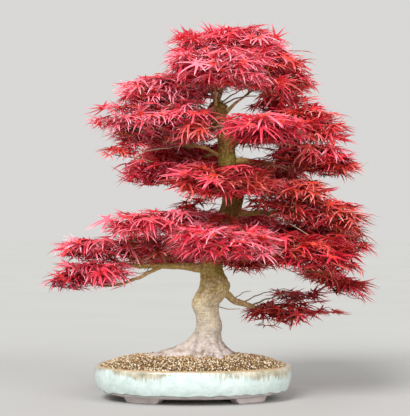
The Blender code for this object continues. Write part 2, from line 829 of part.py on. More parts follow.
class Growth:
    """The stalks and leaves of one mass, grown from its stem within its room."""

    def __init__(self, space, stem, obstacles, dice):
        self.space = space
        self.stem = stem
        self.obstacles = obstacles
        self.dice = dice
        self.turn = float(np.arctan2(space.axes[0][1], space.axes[0][0]))
        self.tip_leaf = None
        self.sprigs = []
        self.line_starts = np.zeros((0, 3))
        self.line_ends = np.zeros((0, 3))
        self.blades = np.zeros((0, 3, 3))
        self.shares = [share for share in np.linspace(0.2, 0.95, 13)
                       if space.holds(np.array(stem.place(float(share)))[None])]
        self.roots = np.array([stem.place(float(share)) for share in self.shares])

    def hanging_axes(self, heading, least_droop, most_droop):
        """The axes of a leaf that hangs along a heading, with a random roll."""
        droop = radians(self.dice.uniform(least_droop, most_droop))
        roll = radians(self.dice.uniform(-LEAF_ROLL, LEAF_ROLL))
        return leaf_axes(heading + radians(self.dice.uniform(-14.0, 14.0)), droop, roll)

    def remember(self, leaf):
        """Keep a leaf's lines and faces for the tests on later ones."""
        starts, ends = leaf.lines()
        self.line_starts = np.concatenate((self.line_starts, starts))
        self.line_ends = np.concatenate((self.line_ends, ends))
        self.blades = np.concatenate((self.blades, leaf.blades()))

    def apart_from_leaves(self, starts, ends):
        """Whether segments keep apart from the leaves that have grown."""
        if not len(self.blades):
            return True
        gaps = segment_gaps(starts, ends, self.line_starts, self.line_ends)
        return gaps.min() > LEAF_APART and not any_crosses(starts, ends, self.blades)

    def apart_from_wood(self, leaf):
        """Whether a leaf keeps apart from the stem and the stalks."""
        roots = [np.array(point) for point in self.stem.path[1:-1]]
        tips = [np.array(point) for point in self.stem.path[2:]]
        for root, other in self.sprigs:
            roots.append(root)
            tips.append(other.heel())
        roots = np.array(roots)
        tips = np.array(tips)
        gaps = segment_gaps(*leaf.lines(), roots, tips)
        return gaps.min() > STEM_ROOT_RADIUS and not any_crosses(roots, tips, leaf.blades())

    def leaf_fits(self, leaf):
        """Whether a leaf stays in the room, clear of the limbs and apart from other leaves."""
        if not self.space.holds(leaf.rim()):
            return False
        starts, ends = leaf.lines()
        if not self.obstacles.clear(starts, ends, LEAF_CLEARANCE):
            return False
        if any_crosses(self.line_starts, self.line_ends, leaf.blades()):
            return False
        return self.apart_from_leaves(starts, ends)

    def stalk_fits(self, root, leaf):
        """Whether a stalk is long enough, stays in the room and touches no limb or leaf."""
        heel = leaf.heel()
        along = heel - root
        length = np.linalg.norm(along)
        if length < SHORTEST_STALK or along @ leaf.axes[0] < 0.2 * length:
            return False
        if not self.space.holds(np.array((root, heel))):
            return False
        start = root + along * 0.2
        if not self.obstacles.clear(start[None], heel[None], STALK_TIP_RADIUS + TWIG_CLEARANCE):
            return False
        return self.apart_from_leaves(start[None], heel[None])

    def stem_root(self, base):
        """Where on the stem the stalk to a leaf springs, some way back from the nearest point."""
        if not self.shares:
            return None
        back = np.linalg.norm(self.roots - base, axis=1) - STALK_RAKE * np.array(self.shares)
        return self.roots[int(np.argmin(back))]

    def add_sprig(self, root, leaf):
        """Add a leaf on its stalk if both fit."""
        if root is None or not self.leaf_fits(leaf) or not self.stalk_fits(root, leaf):
            return False
        if not self.apart_from_wood(leaf):
            return False
        self.sprigs.append((root, leaf))
        self.remember(leaf)
        return True

    def grow_tip(self):
        """End the stem in a leaf."""
        end = np.array(self.stem.path[-1])
        for size in LEAF_SIZES:
            for _ in range(GROWTH_TRIES):
                axes = self.hanging_axes(self.turn, 15.0, 45.0)
                leaf = Leaf(end + axes[0] * LEAF_HEEL * LEAF_LENGTH * size, axes, LEAF_LENGTH * size)
                if self.leaf_fits(leaf):
                    self.tip_leaf = leaf
                    self.remember(leaf)
                    return

    def grow_skirt(self):
        """Hang leaves round the edge, each pushed out until its tips meet the room's wall."""
        count = max(round(pi * (self.space.half[0] + self.space.half[1]) / LEAF_SPACING), 5)
        for index in range(count):
            angle = 2.0 * pi * (index + 0.5) / count
            for size in LEAF_SIZES:
                if any(self.push_out(angle, index, size) for _ in range(GROWTH_TRIES)):
                    break

    def push_out(self, angle, index, size):
        """Try a leaf along one bearing, from the room's wall inwards."""
        angle += self.dice.uniform(-0.3, 0.3)
        level = self.dice.uniform(0.2, 0.8) if index % 2 else self.dice.uniform(-0.3, 0.4)
        axes = self.hanging_axes(self.turn + angle, 18.0, 55.0)
        for share in np.arange(0.85, 0.3, -0.06):
            reach = self.space.edge(angle) * share
            base = self.space.point(reach * cos(angle), reach * sin(angle), level * self.space.half[2])
            if self.add_sprig(self.stem_root(base), Leaf(base, axes, LEAF_LENGTH * size)):
                return True
        return False

    def grow_inside(self):
        """Set leaves on short stalks along the stem and the long stalks, on alternate sides."""
        along = np.array(self.stem.tip_direction())
        bearers = [(np.array(self.stem.place(share)), along) for share in (0.9, 0.82, 0.66, 0.56, 0.4)]
        for root, leaf in list(self.sprigs):
            along = leaf.heel() - root
            if np.linalg.norm(along) > LONG_STALK:
                bearers += [(root + along * 0.68, along), (root + along * 0.52, along)]
        for index, (root, along) in enumerate(bearers):
            if len(self.sprigs) >= MOST_LEAVES:
                return
            heading = float(np.arctan2(along[1], along[0]))
            side = 1.0 if index % 2 else -1.0
            for size in LEAF_SIZES:
                if any(self.branch_aside(root, heading, side, size) for _ in range(GROWTH_TRIES)):
                    break

    def fill_gaps(self):
        """Set leaves anywhere in the room, on stalks from the stem, until the mass is full enough."""
        for _ in range(FILL_TRIES):
            if len(self.sprigs) >= FEWEST_LEAVES or not self.shares:
                return
            place = [self.dice.uniform(-0.85, 0.85) * half for half in self.space.half]
            base = self.space.point(*place)
            root = self.stem_root(base)
            heading = float(np.arctan2(base[1] - root[1], base[0] - root[0]))
            axes = self.hanging_axes(heading, 10.0, 55.0)
            self.add_sprig(root, Leaf(base, axes, LEAF_LENGTH * self.dice.choice(LEAF_SIZES)))

    def branch_aside(self, root, heading, side, size):
        """Try a leaf on a short stalk to one side of what bears it."""
        aside = heading + side * radians(self.dice.uniform(35.0, 95.0))
        rise = self.dice.uniform(-0.3, 0.7)
        stalk = np.array((cos(aside), sin(aside), rise)) * self.dice.uniform(10.0, 24.0)
        axes = self.hanging_axes(aside, 8.0, 50.0)
        length = LEAF_LENGTH * size
        return self.add_sprig(root, Leaf(root + stalk + axes[0] * LEAF_HEEL * length, axes, length))


def leafy_stalk(name, path, radii, leaf, material):
    """A three-sided stalk that opens into a leaf at its end, as one thin closed solid."""
    path = [Vector(point) for point in path[:-1]] + [Vector(leaf.heel())]
    rings = []
    across = Vector(leaf.axes[1])
    for index in reversed(range(len(path))):
        if index == len(path) - 1:
            along = Vector(leaf.axes[0])
        else:
            along = (path[index + 1] - path[max(index - 1, 0)]).normalized()
        across = (across - along * across.dot(along)).normalized()
        up = along.cross(across)
        radius = radii[index]
        rings.append([path[index] + across * radius * 0.87 + up * radius * 0.5,
                      path[index] - across * radius * 0.87 + up * radius * 0.5,
                      path[index] - up * radius])
    points = [corner for ring in reversed(rings) for corner in ring]
    faces = [(0, 1, 2)]
    for low in range(0, 3 * (len(path) - 1), 3):
        for corner in range(3):
            after = (corner + 1) % 3
            faces.append((low + corner, low + after, low + 3 + after, low + 3 + corner))
    left, right, under = (len(points) - 3, len(points) - 2, len(points) - 1)
    rim = list(range(len(points), len(points) + len(leaf.rim()))) + [left, right]
    points += [Vector(point) for point in leaf.rim()]
    top = len(points)
    points.append(Vector(leaf.base + leaf.axes[2] * LEAF_HALF_THICKNESS))
    points.append(Vector(leaf.base - leaf.axes[2] * LEAF_HALF_THICKNESS))
    for index, here in enumerate(rim):
        after = rim[(index + 1) % len(rim)]
        faces.append((here, after, top))
        if here != left:
            faces.append((after, here, top + 1))
    faces += [(under, left, top + 1), (right, under, top + 1)]
    return make_object(name, points, faces, material)


def build_mass(mass, space, stem, obstacles, dice, material):
    """One mass of foliage, joined into a single solid, and grown again if it doesn't close."""
    for _ in range(JOIN_TRIES):
        growth = Growth(space, stem, obstacles, dice)
        growth.grow_tip()
        growth.grow_skirt()
        growth.grow_inside()
        growth.fill_gaps()
        if growth.tip_leaf:
            piece = leafy_stalk(mass.name, stem.path, stem.radii, growth.tip_leaf, material)
        else:
            piece = tube(mass.name, stem.path, stem.radii, TWIG_SIDES, material)
        parts = [leafy_stalk("sprig", [root, root], [STALK_ROOT_RADIUS, STALK_TIP_RADIUS], leaf, material)
                 for root, leaf in growth.sprigs]
        join_pieces(piece, parts)
        if is_closed(piece):
            return piece
        bpy.data.objects.remove(piece)
    raise ValueError(mass.name + " does not close")


def build_bough(bough, limbs, material):
    """One bough, with its root shaped to the limb that it leaves."""
    limb = limbs[bough.name]
    piece = tube(bough.name, limb.path, limb.radii, BOUGH_SIDES, material)
    if bough.parent == "trunk":
        cutter = trunk_solid("trunk_grown", TOUCHING_GAP, material)
    else:
        parent = limbs[bough.parent]
        cutter = tube("parent_grown", parent.path, [radius + TOUCHING_GAP for radius in parent.radii],
                      BOUGH_SIDES, material)
    cut_away(piece, cutter)
    keep_largest_shell(piece)
    shade_round(piece)
    return piece


def build_foliage(limbs, material):
    """Every mass, each in its own room and clear of all limbs and of the other stems."""
    stems = place_stems(limbs)
    spaces = {mass.name: Space(mass) for mass in MASSES}
    for name, space in spaces.items():
        for other_name, other in spaces.items():
            if other_name != name:
                space.divide(other)
    pieces = []
    for index, mass in enumerate(MASSES):
        others = [stem for name, stem in stems.items() if name != mass.name]
        obstacles = Obstacles(list(limbs.values()) + others)
        dice = random.Random(20 + index)
        pieces.append(build_mass(mass, spaces[mass.name], stems[mass.name], obstacles, dice, material))
    return pieces


def stand_over_footprint(pieces):
    """Hang the pieces on one empty, placed so that the plant's box is centred on the origin."""
    bpy.context.view_layer.update()
    corners = [piece.matrix_world @ Vector(corner) for piece in pieces for corner in piece.bound_box]
    middle_x = 0.5 * (min(corner.x for corner in corners) + max(corner.x for corner in corners))
    middle_y = 0.5 * (min(corner.y for corner in corners) + max(corner.y for corner in corners))
    stand = bpy.data.objects.new("maple_bonsai", None)
    bpy.context.collection.objects.link(stand)
    for piece in pieces:
        piece.parent = stand
    stand.matrix_world = Matrix.Translation((-middle_x, -middle_y, 0.0))
    bpy.context.view_layer.update()


def main():
    """Build the whole plant."""
    for old in list(bpy.data.objects):
        bpy.data.objects.remove(old)
    materials = {name: make_material(name) for name in FINISHES}
    limbs = place_boughs()
    pieces = [build_pot(materials["glazed_stoneware"]), build_grit(materials["grit"])]
    trunk = trunk_solid("trunk", 0.0, materials["bark"])
    shade_round(trunk)
    pieces.append(trunk)
    pieces += [build_bough(bough, limbs, materials["bough_bark"]) for bough in BOUGHS]
    pieces += build_foliage(limbs, materials["maple_leaves"])
    stand_over_footprint(pieces)


main()
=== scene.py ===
"""Finished surfaces of a maple bonsai in an oval glazed pot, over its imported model.

The trunk's line, the boughs, and the room of each mass of foliage follow the source's rows, in
millimetres from the middle of the pot; most rooms are a little smaller here, because fine leaves fill
them and hang over their edges. The source's growing rule is carried on to finer twigs: each bough runs
on into stems, each stem into twigs, and each twig ends in a spray of leaves on stalks of their own.
"""

import json
import logging
import random
from collections.abc import Sequence
from dataclasses import dataclass, field
from enum import Enum
from math import atan2, ceil, cos, exp, hypot, inf, pi, radians, sin, tau
from typing import NamedTuple

import bmesh
import bpy
import numpy as np
from bpy.types import Collection, Material, Mesh, Node, NodeSocket, NodeTree, Object
from mathutils import Matrix, Vector, noise

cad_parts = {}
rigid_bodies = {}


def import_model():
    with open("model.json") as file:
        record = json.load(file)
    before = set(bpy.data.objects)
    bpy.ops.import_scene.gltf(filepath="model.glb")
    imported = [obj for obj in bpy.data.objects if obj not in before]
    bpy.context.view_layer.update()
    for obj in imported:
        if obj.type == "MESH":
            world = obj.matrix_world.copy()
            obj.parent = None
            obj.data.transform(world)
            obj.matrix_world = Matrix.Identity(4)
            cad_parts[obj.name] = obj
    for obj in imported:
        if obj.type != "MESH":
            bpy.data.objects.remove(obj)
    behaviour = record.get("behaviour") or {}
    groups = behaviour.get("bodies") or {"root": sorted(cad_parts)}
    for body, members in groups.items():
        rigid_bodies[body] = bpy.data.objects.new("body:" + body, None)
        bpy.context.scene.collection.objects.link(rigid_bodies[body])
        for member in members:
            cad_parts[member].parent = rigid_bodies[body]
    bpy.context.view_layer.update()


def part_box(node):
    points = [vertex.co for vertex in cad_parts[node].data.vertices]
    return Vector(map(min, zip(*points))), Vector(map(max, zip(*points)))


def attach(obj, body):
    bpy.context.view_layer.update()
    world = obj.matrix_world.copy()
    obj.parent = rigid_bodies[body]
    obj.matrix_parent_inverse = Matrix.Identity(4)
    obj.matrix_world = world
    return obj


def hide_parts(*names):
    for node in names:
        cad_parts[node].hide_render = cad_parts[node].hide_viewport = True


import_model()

# Units, and the one body that everything rides on
MM = 0.001
BODY = "root"

# Sockets of the colour Mix node, which has one set of names for three kinds of data
MIX_FACTOR = 0
MIX_A = 6
MIX_B = 7
MIX_RESULT = 2

# Sockets of the Random Value node for one number
RANDOM_LEAST = 2
RANDOM_MOST = 3
RANDOM_RESULT = 1

# The seed of the noise that crooks the bare shoots
NOISE_SEED = 7

# Shares of a curve's reach at which its inner handles stand from its start and from its end
START_HANDLE = 0.38
END_HANDLE = 0.34

# How far the topmost leaves of most masses point up, in degrees
USUAL_SPRING = 12.0

# How many of a palette's tints are dealt to whole sprays; the rest are for the painted highlight on lobe
# tips, and for hearts
SPRAY_TINTS = 5


class Palette(Enum):
    """Leaf colours of one part of the crown: five from deep to bright, two paler ones for the painted
    highlight on lobe tips, one for hearts.
    """

    ROSE = ("a4162c", "ca283e", "e23e52", "ec5266", "f26a7e", "f68a9a", "f9aab6", "e84036")
    BLUSH = ("ae2236", "d2384c", "e65062", "ee6678", "f47e90", "f89cac", "fbbcc8", "ec5040")
    SCARLET = ("961c20", "b83030", "d44642", "e25a56", "ea706e", "f08a88", "f6aaa8", "e04c34")
    RUSSET = ("761214", "962020", "b02e2c", "c4403a", "d2564e", "e0726c", "ee9894", "c83c24")
    WINE = ("741222", "941e30", "b22e42", "c64254", "d65c6c", "e47c8a", "f0a0aa", "c0342e")


ROSE, BLUSH, SCARLET, RUSSET, WINE = Palette

# The palette whose colours stand in patches among another's
ACCENTS = {ROSE: SCARLET, BLUSH: ROSE, SCARLET: ROSE, RUSSET: ROSE, WINE: ROSE}


class Station(NamedTuple):
    """A level of the trunk: its height, the middle of the wood there, and its thickness."""

    height: float
    x: float
    y: float
    thickness: float


class Root(NamedTuple):
    """A surface root: its heading in plan, its reach from the trunk's middle, its half spread."""

    heading: float
    reach: float
    spread: float


class Knot(NamedTuple):
    """A swelling on the trunk: its height, heading, how far it stands out, and its size."""

    height: float
    heading: float
    swell: float
    size: float


class Bough(NamedTuple):
    """A limb: where it leaves, its rise there in degrees, its tip, its thicknesses and its parent.

    The place is a height on the trunk, or a share of the length of another bough.
    """

    name: str
    place: float
    rise: float
    tip: tuple[float, float, float]
    root_thickness: float
    tip_thickness: float
    parent: str = "trunk"


class Mass(NamedTuple):
    """A mass of foliage: its limb, the middle and half sizes of its room, its droop and colours.

    The half sizes run outwards from the trunk, across that, and up. The fill is a share of the usual
    count of sprays, the tint lift how far its tints lean to the bright ones, partly for the mass's own
    colour and partly as painted light that brightens masses lying in shade, and the spring how far its
    topmost leaves point up, in degrees.
    """

    name: str
    limb: str
    centre: tuple[float, float, float]
    half: tuple[float, float, float]
    droop: float
    palette: Palette
    fill: float = 1.0
    tint_lift_and_painted_light: float = 0.0
    spring: float = USUAL_SPRING


class Shoot(NamedTuple):
    """A bare twig: the limb and the place where it springs, its tip, its thickness and its sag."""

    limb: str
    place: float
    tip: tuple[float, float, float]
    thickness: float
    sag: float


TRUNK = tuple(Station(*row) for row in (
    (64, 27, 0, 43), (88, 25, 0, 41), (104, 24.5, -1, 41), (119, 26.4, -2, 43), (136, 24.3, -3, 38.5),
    (150, 21.8, -3, 40.5), (160, 24.5, -3, 44), (175, 31, -2, 46), (187, 33.4, -2, 45),
    (200, 32.4, 0, 39.5), (216, 31, 1, 35), (240, 39, 4, 31), (282, 50, 5, 33), (326, 65, 2, 33),
    (381, 57, -3, 26.5), (424, 52.5, -4, 24), (442, 46, -3, 19), (454, 41.5, -2, 21), (466, 39.5, 0, 26),
    (477, 39, 0, 25), (484, 39, 0, 13),
))

ROOTS = tuple(Root(*row) for row in (
    (182, 92, 20), (236, 42, 17), (292, 47, 17), (348, 36, 22), (42, 50, 22), (98, 60, 20), (140, 46, 20),
))

KNOTS = tuple(Knot(*row) for row in (
    (156, 185, 4, 15), (178, 350, 1.5, 15), (252, 130, 4, 11), (300, 70, 5, 12), (345, 215, 4, 11),
    (424, 350, 6, 8), (470, 200, 4, 6), (476, 320, 4, 6), (464, 20, 3, 6),
))

BOUGHS = tuple(Bough(*row) for row in (
    ("low_right", 182, -32, (100, 4, 148), 16, 9), ("low_left", 212, 2, (-100, 2, 217), 15, 8),
    ("low_left_fork", 0.62, -28, (-122, -14, 186), 6, 5, "low_left"),
    ("low_back", 240, 12, (-8, 72, 236), 12, 7), ("low_front", 244, 6, (48, -76, 256), 12, 7),
    ("right_sweep", 231, -4, (142, -22, 222), 13, 8), ("right_behind", 266, 6, (134, 42, 266), 12, 7),
    ("left_second", 280, 5, (2, -20, 284), 12, 7), ("back_second", 288, 8, (54, 74, 290), 12, 7),
    ("right_second", 300, 6, (150, -14, 304), 11, 7), ("right_thin", 332, 4, (108, -24, 338), 9, 6),
    ("front_middle", 342, 10, (50, -64, 348), 11, 7), ("left_middle", 356, 8, (14, -6, 364), 11, 7),
    ("back_right", 354, 8, (90, 68, 362), 11, 7), ("right_middle", 386, 12, (142, 1, 380), 12, 7),
    ("left_upper", 386, 40, (-50, 4, 419), 7, 4), ("back_left", 398, 12, (20, 64, 398), 10, 6),
    ("right_upper", 416, 14, (126, 2, 440), 11, 7), ("front_upper", 428, 10, (84, -60, 436), 9, 6),
    ("back_upper", 436, 10, (70, 56, 440), 9, 6), ("left_top", 454, 32, (-10, 0, 488), 8, 5),
    ("right_top", 458, 26, (112, 2, 508), 8, 6), ("crown_front", 468, 34, (30, -34, 524), 7, 6),
    ("crown_back", 464, 34, (46, 44, 524), 7, 6), ("crown_top", 476, 76, (64, -4, 536), 9, 6),
))

# Boughs whose bark is dry and scaly, with hardly any algae
BARE_BOUGHS = ("low_right",)

# A mass's tint lift shifts it to brighter or darker tints: partly its own colour, partly painted light that
# brightens masses lying in shade
MASSES = (
    Mass("low_right", "low_right", (139, -4, 135), (59, 57, 24), 2, RUSSET, 0.9, tint_lift_and_painted_light=-0.1),
    Mass("low_right_back", "low_right", (176, 112, 160), (54, 52, 19), 3, WINE, 0.6, tint_lift_and_painted_light=-0.1),
    Mass("low_left", "low_left", (-134, 12, 239), (101, 62, 24), 1, BLUSH, tint_lift_and_painted_light=0.06),
    Mass("low_left_tip", "low_left_fork", (-168, -30, 199), (80, 58, 26), 2, WINE, tint_lift_and_painted_light=0.04),
    Mass("low_back", "low_back", (-38, 128, 234), (84, 88, 30), 4, ROSE),
    Mass("low_front", "low_front", (50, -132, 255), (86, 88, 30), 3, BLUSH),
    Mass("low_front_under", "trunk", (80, -56, 224), (54, 56, 22), 4, RUSSET),
    Mass("right_sweep_tip", "right_sweep", (228, -18, 188), (66, 56, 21), 17, RUSSET),
    Mass("right_sweep_front", "right_sweep", (196, -92, 236), (88, 62, 34), 6, SCARLET, tint_lift_and_painted_light=-0.2),
    Mass("right_behind", "right_behind", (204, 70, 262), (90, 68, 30), 3, RUSSET, 0.85),
    Mass("left_second", "left_second", (-57, -46, 279), (98, 68, 27), 2, BLUSH, tint_lift_and_painted_light=0.04),
    Mass("back_second", "back_second", (60, 148, 281), (88, 94, 30), 2, ROSE),
    Mass("right_second", "right_second", (207, -32, 299), (81, 68, 29), 9, RUSSET, tint_lift_and_painted_light=0.1),
    Mass("right_thin", "right_thin", (158, -56, 337), (88, 60, 22), 3, RUSSET, tint_lift_and_painted_light=0.1),
    Mass("front_middle", "front_middle", (44, -114, 349), (78, 80, 30), 3, RUSSET, tint_lift_and_painted_light=0.02),
    Mass("left_middle", "left_middle", (-46, -12, 364), (85, 64, 23), 0, WINE),
    Mass("back_right", "back_right", (120, 132, 360), (82, 84, 31), 2, SCARLET),
    Mass("right_middle", "right_middle", (196, 6, 388), (82, 66, 29), 7, RUSSET, tint_lift_and_painted_light=0.08),
    Mass("left_upper", "trunk", (-50, 24, 431), (90, 66, 28), 2, ROSE, tint_lift_and_painted_light=0.3),
    Mass("left_upper_tip", "left_upper", (-99, -24, 454), (78, 60, 27), 3, BLUSH, tint_lift_and_painted_light=0.36),
    Mass("back_left", "back_left", (-20, 124, 390), (84, 84, 31), 2, ROSE),
    Mass("right_upper_tip", "right_upper", (192, -12, 438), (69, 60, 34), 7, SCARLET, tint_lift_and_painted_light=0.08),
    Mass("right_upper_back", "right_upper", (154, 30, 471), (60, 62, 28), 9, ROSE, tint_lift_and_painted_light=0.12),
    Mass("front_upper", "front_upper", (110, -102, 432), (68, 70, 29), 3, BLUSH, tint_lift_and_painted_light=-0.12),
    Mass("back_upper", "back_upper", (96, 110, 438), (74, 74, 29), 2, SCARLET),
    Mass("left_top", "left_top", (-51, 0, 496), (80, 66, 29), 4, BLUSH, tint_lift_and_painted_light=0.46),
    Mass("back_top", "crown_back", (-22, 102, 508), (74, 76, 31), 2, ROSE),
    Mass("right_top", "right_top", (148, 2, 524), (56, 60, 38), 4, ROSE, tint_lift_and_painted_light=0.14, spring=24),
    Mass("crown_front", "crown_front", (40, -62, 530), (78, 88, 32), 2, BLUSH, tint_lift_and_painted_light=0.14, spring=18),
    Mass("crown_left", "crown_front", (26, 2, 573), (68, 66, 33), 2, BLUSH, tint_lift_and_painted_light=0.22, spring=34),
    Mass("crown_right", "crown_top", (97, -8, 567), (63, 66, 33), 4, BLUSH, tint_lift_and_painted_light=0.2, spring=34),
    Mass("crown_back", "crown_back", (78, 86, 553), (76, 80, 35), 0, ROSE, tint_lift_and_painted_light=0.12, spring=36),
)

# Small tufts close to the trunk and between the tiers, which have no solids of their own
TUFTS = (
    Mass("tuft_left_high", "trunk", (4, -34, 462), (54, 42, 25), 4, BLUSH, tint_lift_and_painted_light=0.1),
    Mass("tuft_left_back", "trunk", (-6, 34, 452), (56, 42, 26), 4, RUSSET),
    Mass("tuft_left_trunk", "trunk", (12, -40, 430), (44, 34, 26), 4, SCARLET),
    Mass("tuft_front_low", "trunk", (50, -48, 289), (42, 36, 16), 6, RUSSET),
    Mass("tuft_middle_left", "left_second", (2, -44, 312), (46, 40, 17), 3, RUSSET, tint_lift_and_painted_light=-0.2),
    Mass("tuft_middle_right", "right_second", (106, -50, 314), (46, 40, 16), 3, RUSSET, 0.8,
         tint_lift_and_painted_light=-0.2),
    Mass("tuft_right_low", "right_second", (146, -66, 314), (40, 36, 18), 6, ROSE),
    Mass("tuft_right_inner", "right_middle", (108, -22, 384), (36, 34, 13), 2, RUSSET),
    Mass("tuft_left_outer", "left_middle", (-116, -14, 397), (35, 36, 18), 4, ROSE),
    Mass("tuft_crown_under", "right_top", (84, -48, 508), (44, 38, 18), 8, BLUSH),
    Mass("tuft_right_edge", "right_sweep", (256, -16, 253), (40, 38, 22), 10, SCARLET),
    Mass("tuft_low_right_tip", "low_right", (206, 6, 138), (42, 38, 13), -1, RUSSET),
    Mass("tuft_low_left_inner", "low_left", (-40, -30, 241), (54, 38, 16), 5, RUSSET),
)

SHOOTS = tuple(Shoot(*row) for row in (
    ("trunk", 158, (77, -16, 147), 2.2, -5), ("low_right", 0.9, (156, -24, 172), 3.4, 3),
    ("low_right", 0.7, (150, 12, 178), 2.4, 4), ("low_right", 0.5, (94, -26, 176), 1.8, 4),
    ("right_sweep", 0.42, (176, -54, 201), 2.8, 6), ("low_left", 0.74, (-92, -30, 205), 2.0, -4),
    ("left_upper", 0.5, (-84, -34, 400), 2.4, 3), ("right_middle", 0.5, (150, -42, 372), 2.6, 4),
    ("right_second", 0.4, (144, -50, 322), 2.4, 4), ("right_middle", 0.3, (132, -44, 386), 2.2, 4),
    ("right_thin", 0.4, (122, -62, 322), 2.6, 4), ("right_second", 0.5, (182, -92, 268), 2.6, 5),
    ("trunk", 470, (24, -12, 520), 6.0, 2), ("trunk", 474, (34, -20, 516), 2.2, 0),
    ("trunk", 474, (103, -18, 492), 3.4, 6), ("trunk", 476, (56, -16, 514), 4.2, 3),
    ("trunk", 478, (98, -24, 508), 3.0, 4), ("trunk", 466, (8, -20, 480), 2.4, 2),
))


def linear_colour(code: str) -> tuple[float, float, float, float]:
    """Turn an sRGB hex colour to linear.

    Args:
        code: Six hex digits.

    Returns:
        Linear red, green and blue, with an alpha of one.
    """
    shares = [int(code[place:place + 2], 16) / 255.0 for place in (0, 2, 4)]
    linear = [share / 12.92 if share <= 0.04045 else ((share + 0.055) / 1.055) ** 2.4 for share in shares]
    return linear[0], linear[1], linear[2], 1.0


def feed(tree: NodeTree, value: object, socket: NodeSocket) -> None:
    """Link or set one input.

    Args:
        tree: The node tree.
        value: An output, a node that gives its first output, an sRGB hex colour, or a plain value.
        socket: The input that gets it.
    """
    if isinstance(value, Node):
        value = value.outputs[0]
    if isinstance(value, NodeSocket):
        tree.links.new(value, socket)
    else:
        socket.default_value = linear_colour(value) if socket.type == "RGBA" else value


def add_node(tree: NodeTree, kind: str, inputs: dict | None = None,
             stops: Sequence[tuple[float, str]] = (), **settings: object) -> Node:
    """Add a node with its settings, and feed its inputs.

    Args:
        tree: The node tree that gets the node.
        kind: Blender's name of the kind of node.
        inputs: What feed takes, by the name or the number of the input.
        stops: Places and sRGB colours, where the node is a colour ramp.
        settings: The node's own properties.

    Returns:
        The new node.
    """
    node = tree.nodes.new(kind)
    for name, value in settings.items():
        setattr(node, name, value)
    for key, value in (inputs or {}).items():
        feed(tree, value, node.inputs[key])
    for index, (place, code) in enumerate(stops):
        elements = node.color_ramp.elements
        element = elements[index] if index < 2 else elements.new(place)
        element.position = place
        element.color = linear_colour(code)
    return node


class ShaderTree:
    """A new material's nodes, with one Principled shader and places in Object coordinates."""

    def __init__(self, name: str, **settings: object) -> None:
        """Start a material.

        Args:
            name: The material's name.
            settings: Values of the shader's own sockets, with underscores for spaces.
        """
        self.material = bpy.data.materials.new(name)
        self.material.use_nodes = True
        self.tree = self.material.node_tree
        self.shader = self.tree.nodes["Principled BSDF"]
        for key, value in settings.items():
            feed(self.tree, value, self.shader.inputs[key.replace("_", " ").title().replace("Ior", "IOR")])
        self.place = self.add("TexCoord").outputs["Object"]

    def add(self, kind: str, inputs: dict | None = None, stops: Sequence[tuple[float, str]] = (),
            **settings: object) -> Node:
        """Add a node; the arguments are add_node's, with the kind's name after its ShaderNode."""
        return add_node(self.tree, "ShaderNode" + kind, inputs, stops, **settings)

    def finish(self, colour: Node, layers: Sequence[tuple] = (), roughness: Node | None = None,
               height: Node | None = None, depth: float = 0.0) -> Material:
        """Feed the shader's colour, roughness and relief.

        Args:
            colour: The colour at the bottom.
            layers: Colours laid over it in turn: how much of each shows, and that colour.
            roughness: The roughness, where it varies.
            height: The height of the fine relief, from 0 to 1.
            depth: What a height of 1 stands for, in metres.

        Returns:
            The finished material.
        """
        for share, over in layers:
            blend = self.add("Mix", {MIX_FACTOR: share, MIX_A: colour, MIX_B: over}, data_type="RGBA")
            colour = blend.outputs[MIX_RESULT]
        feed(self.tree, colour, self.shader.inputs["Base Color"])
        if roughness:
            feed(self.tree, roughness, self.shader.inputs["Roughness"])
        if height:
            relief = self.add("Bump", {"Height": height, "Strength": 1.0, "Distance": depth})
            feed(self.tree, relief, self.shader.inputs["Normal"])
        return self.material


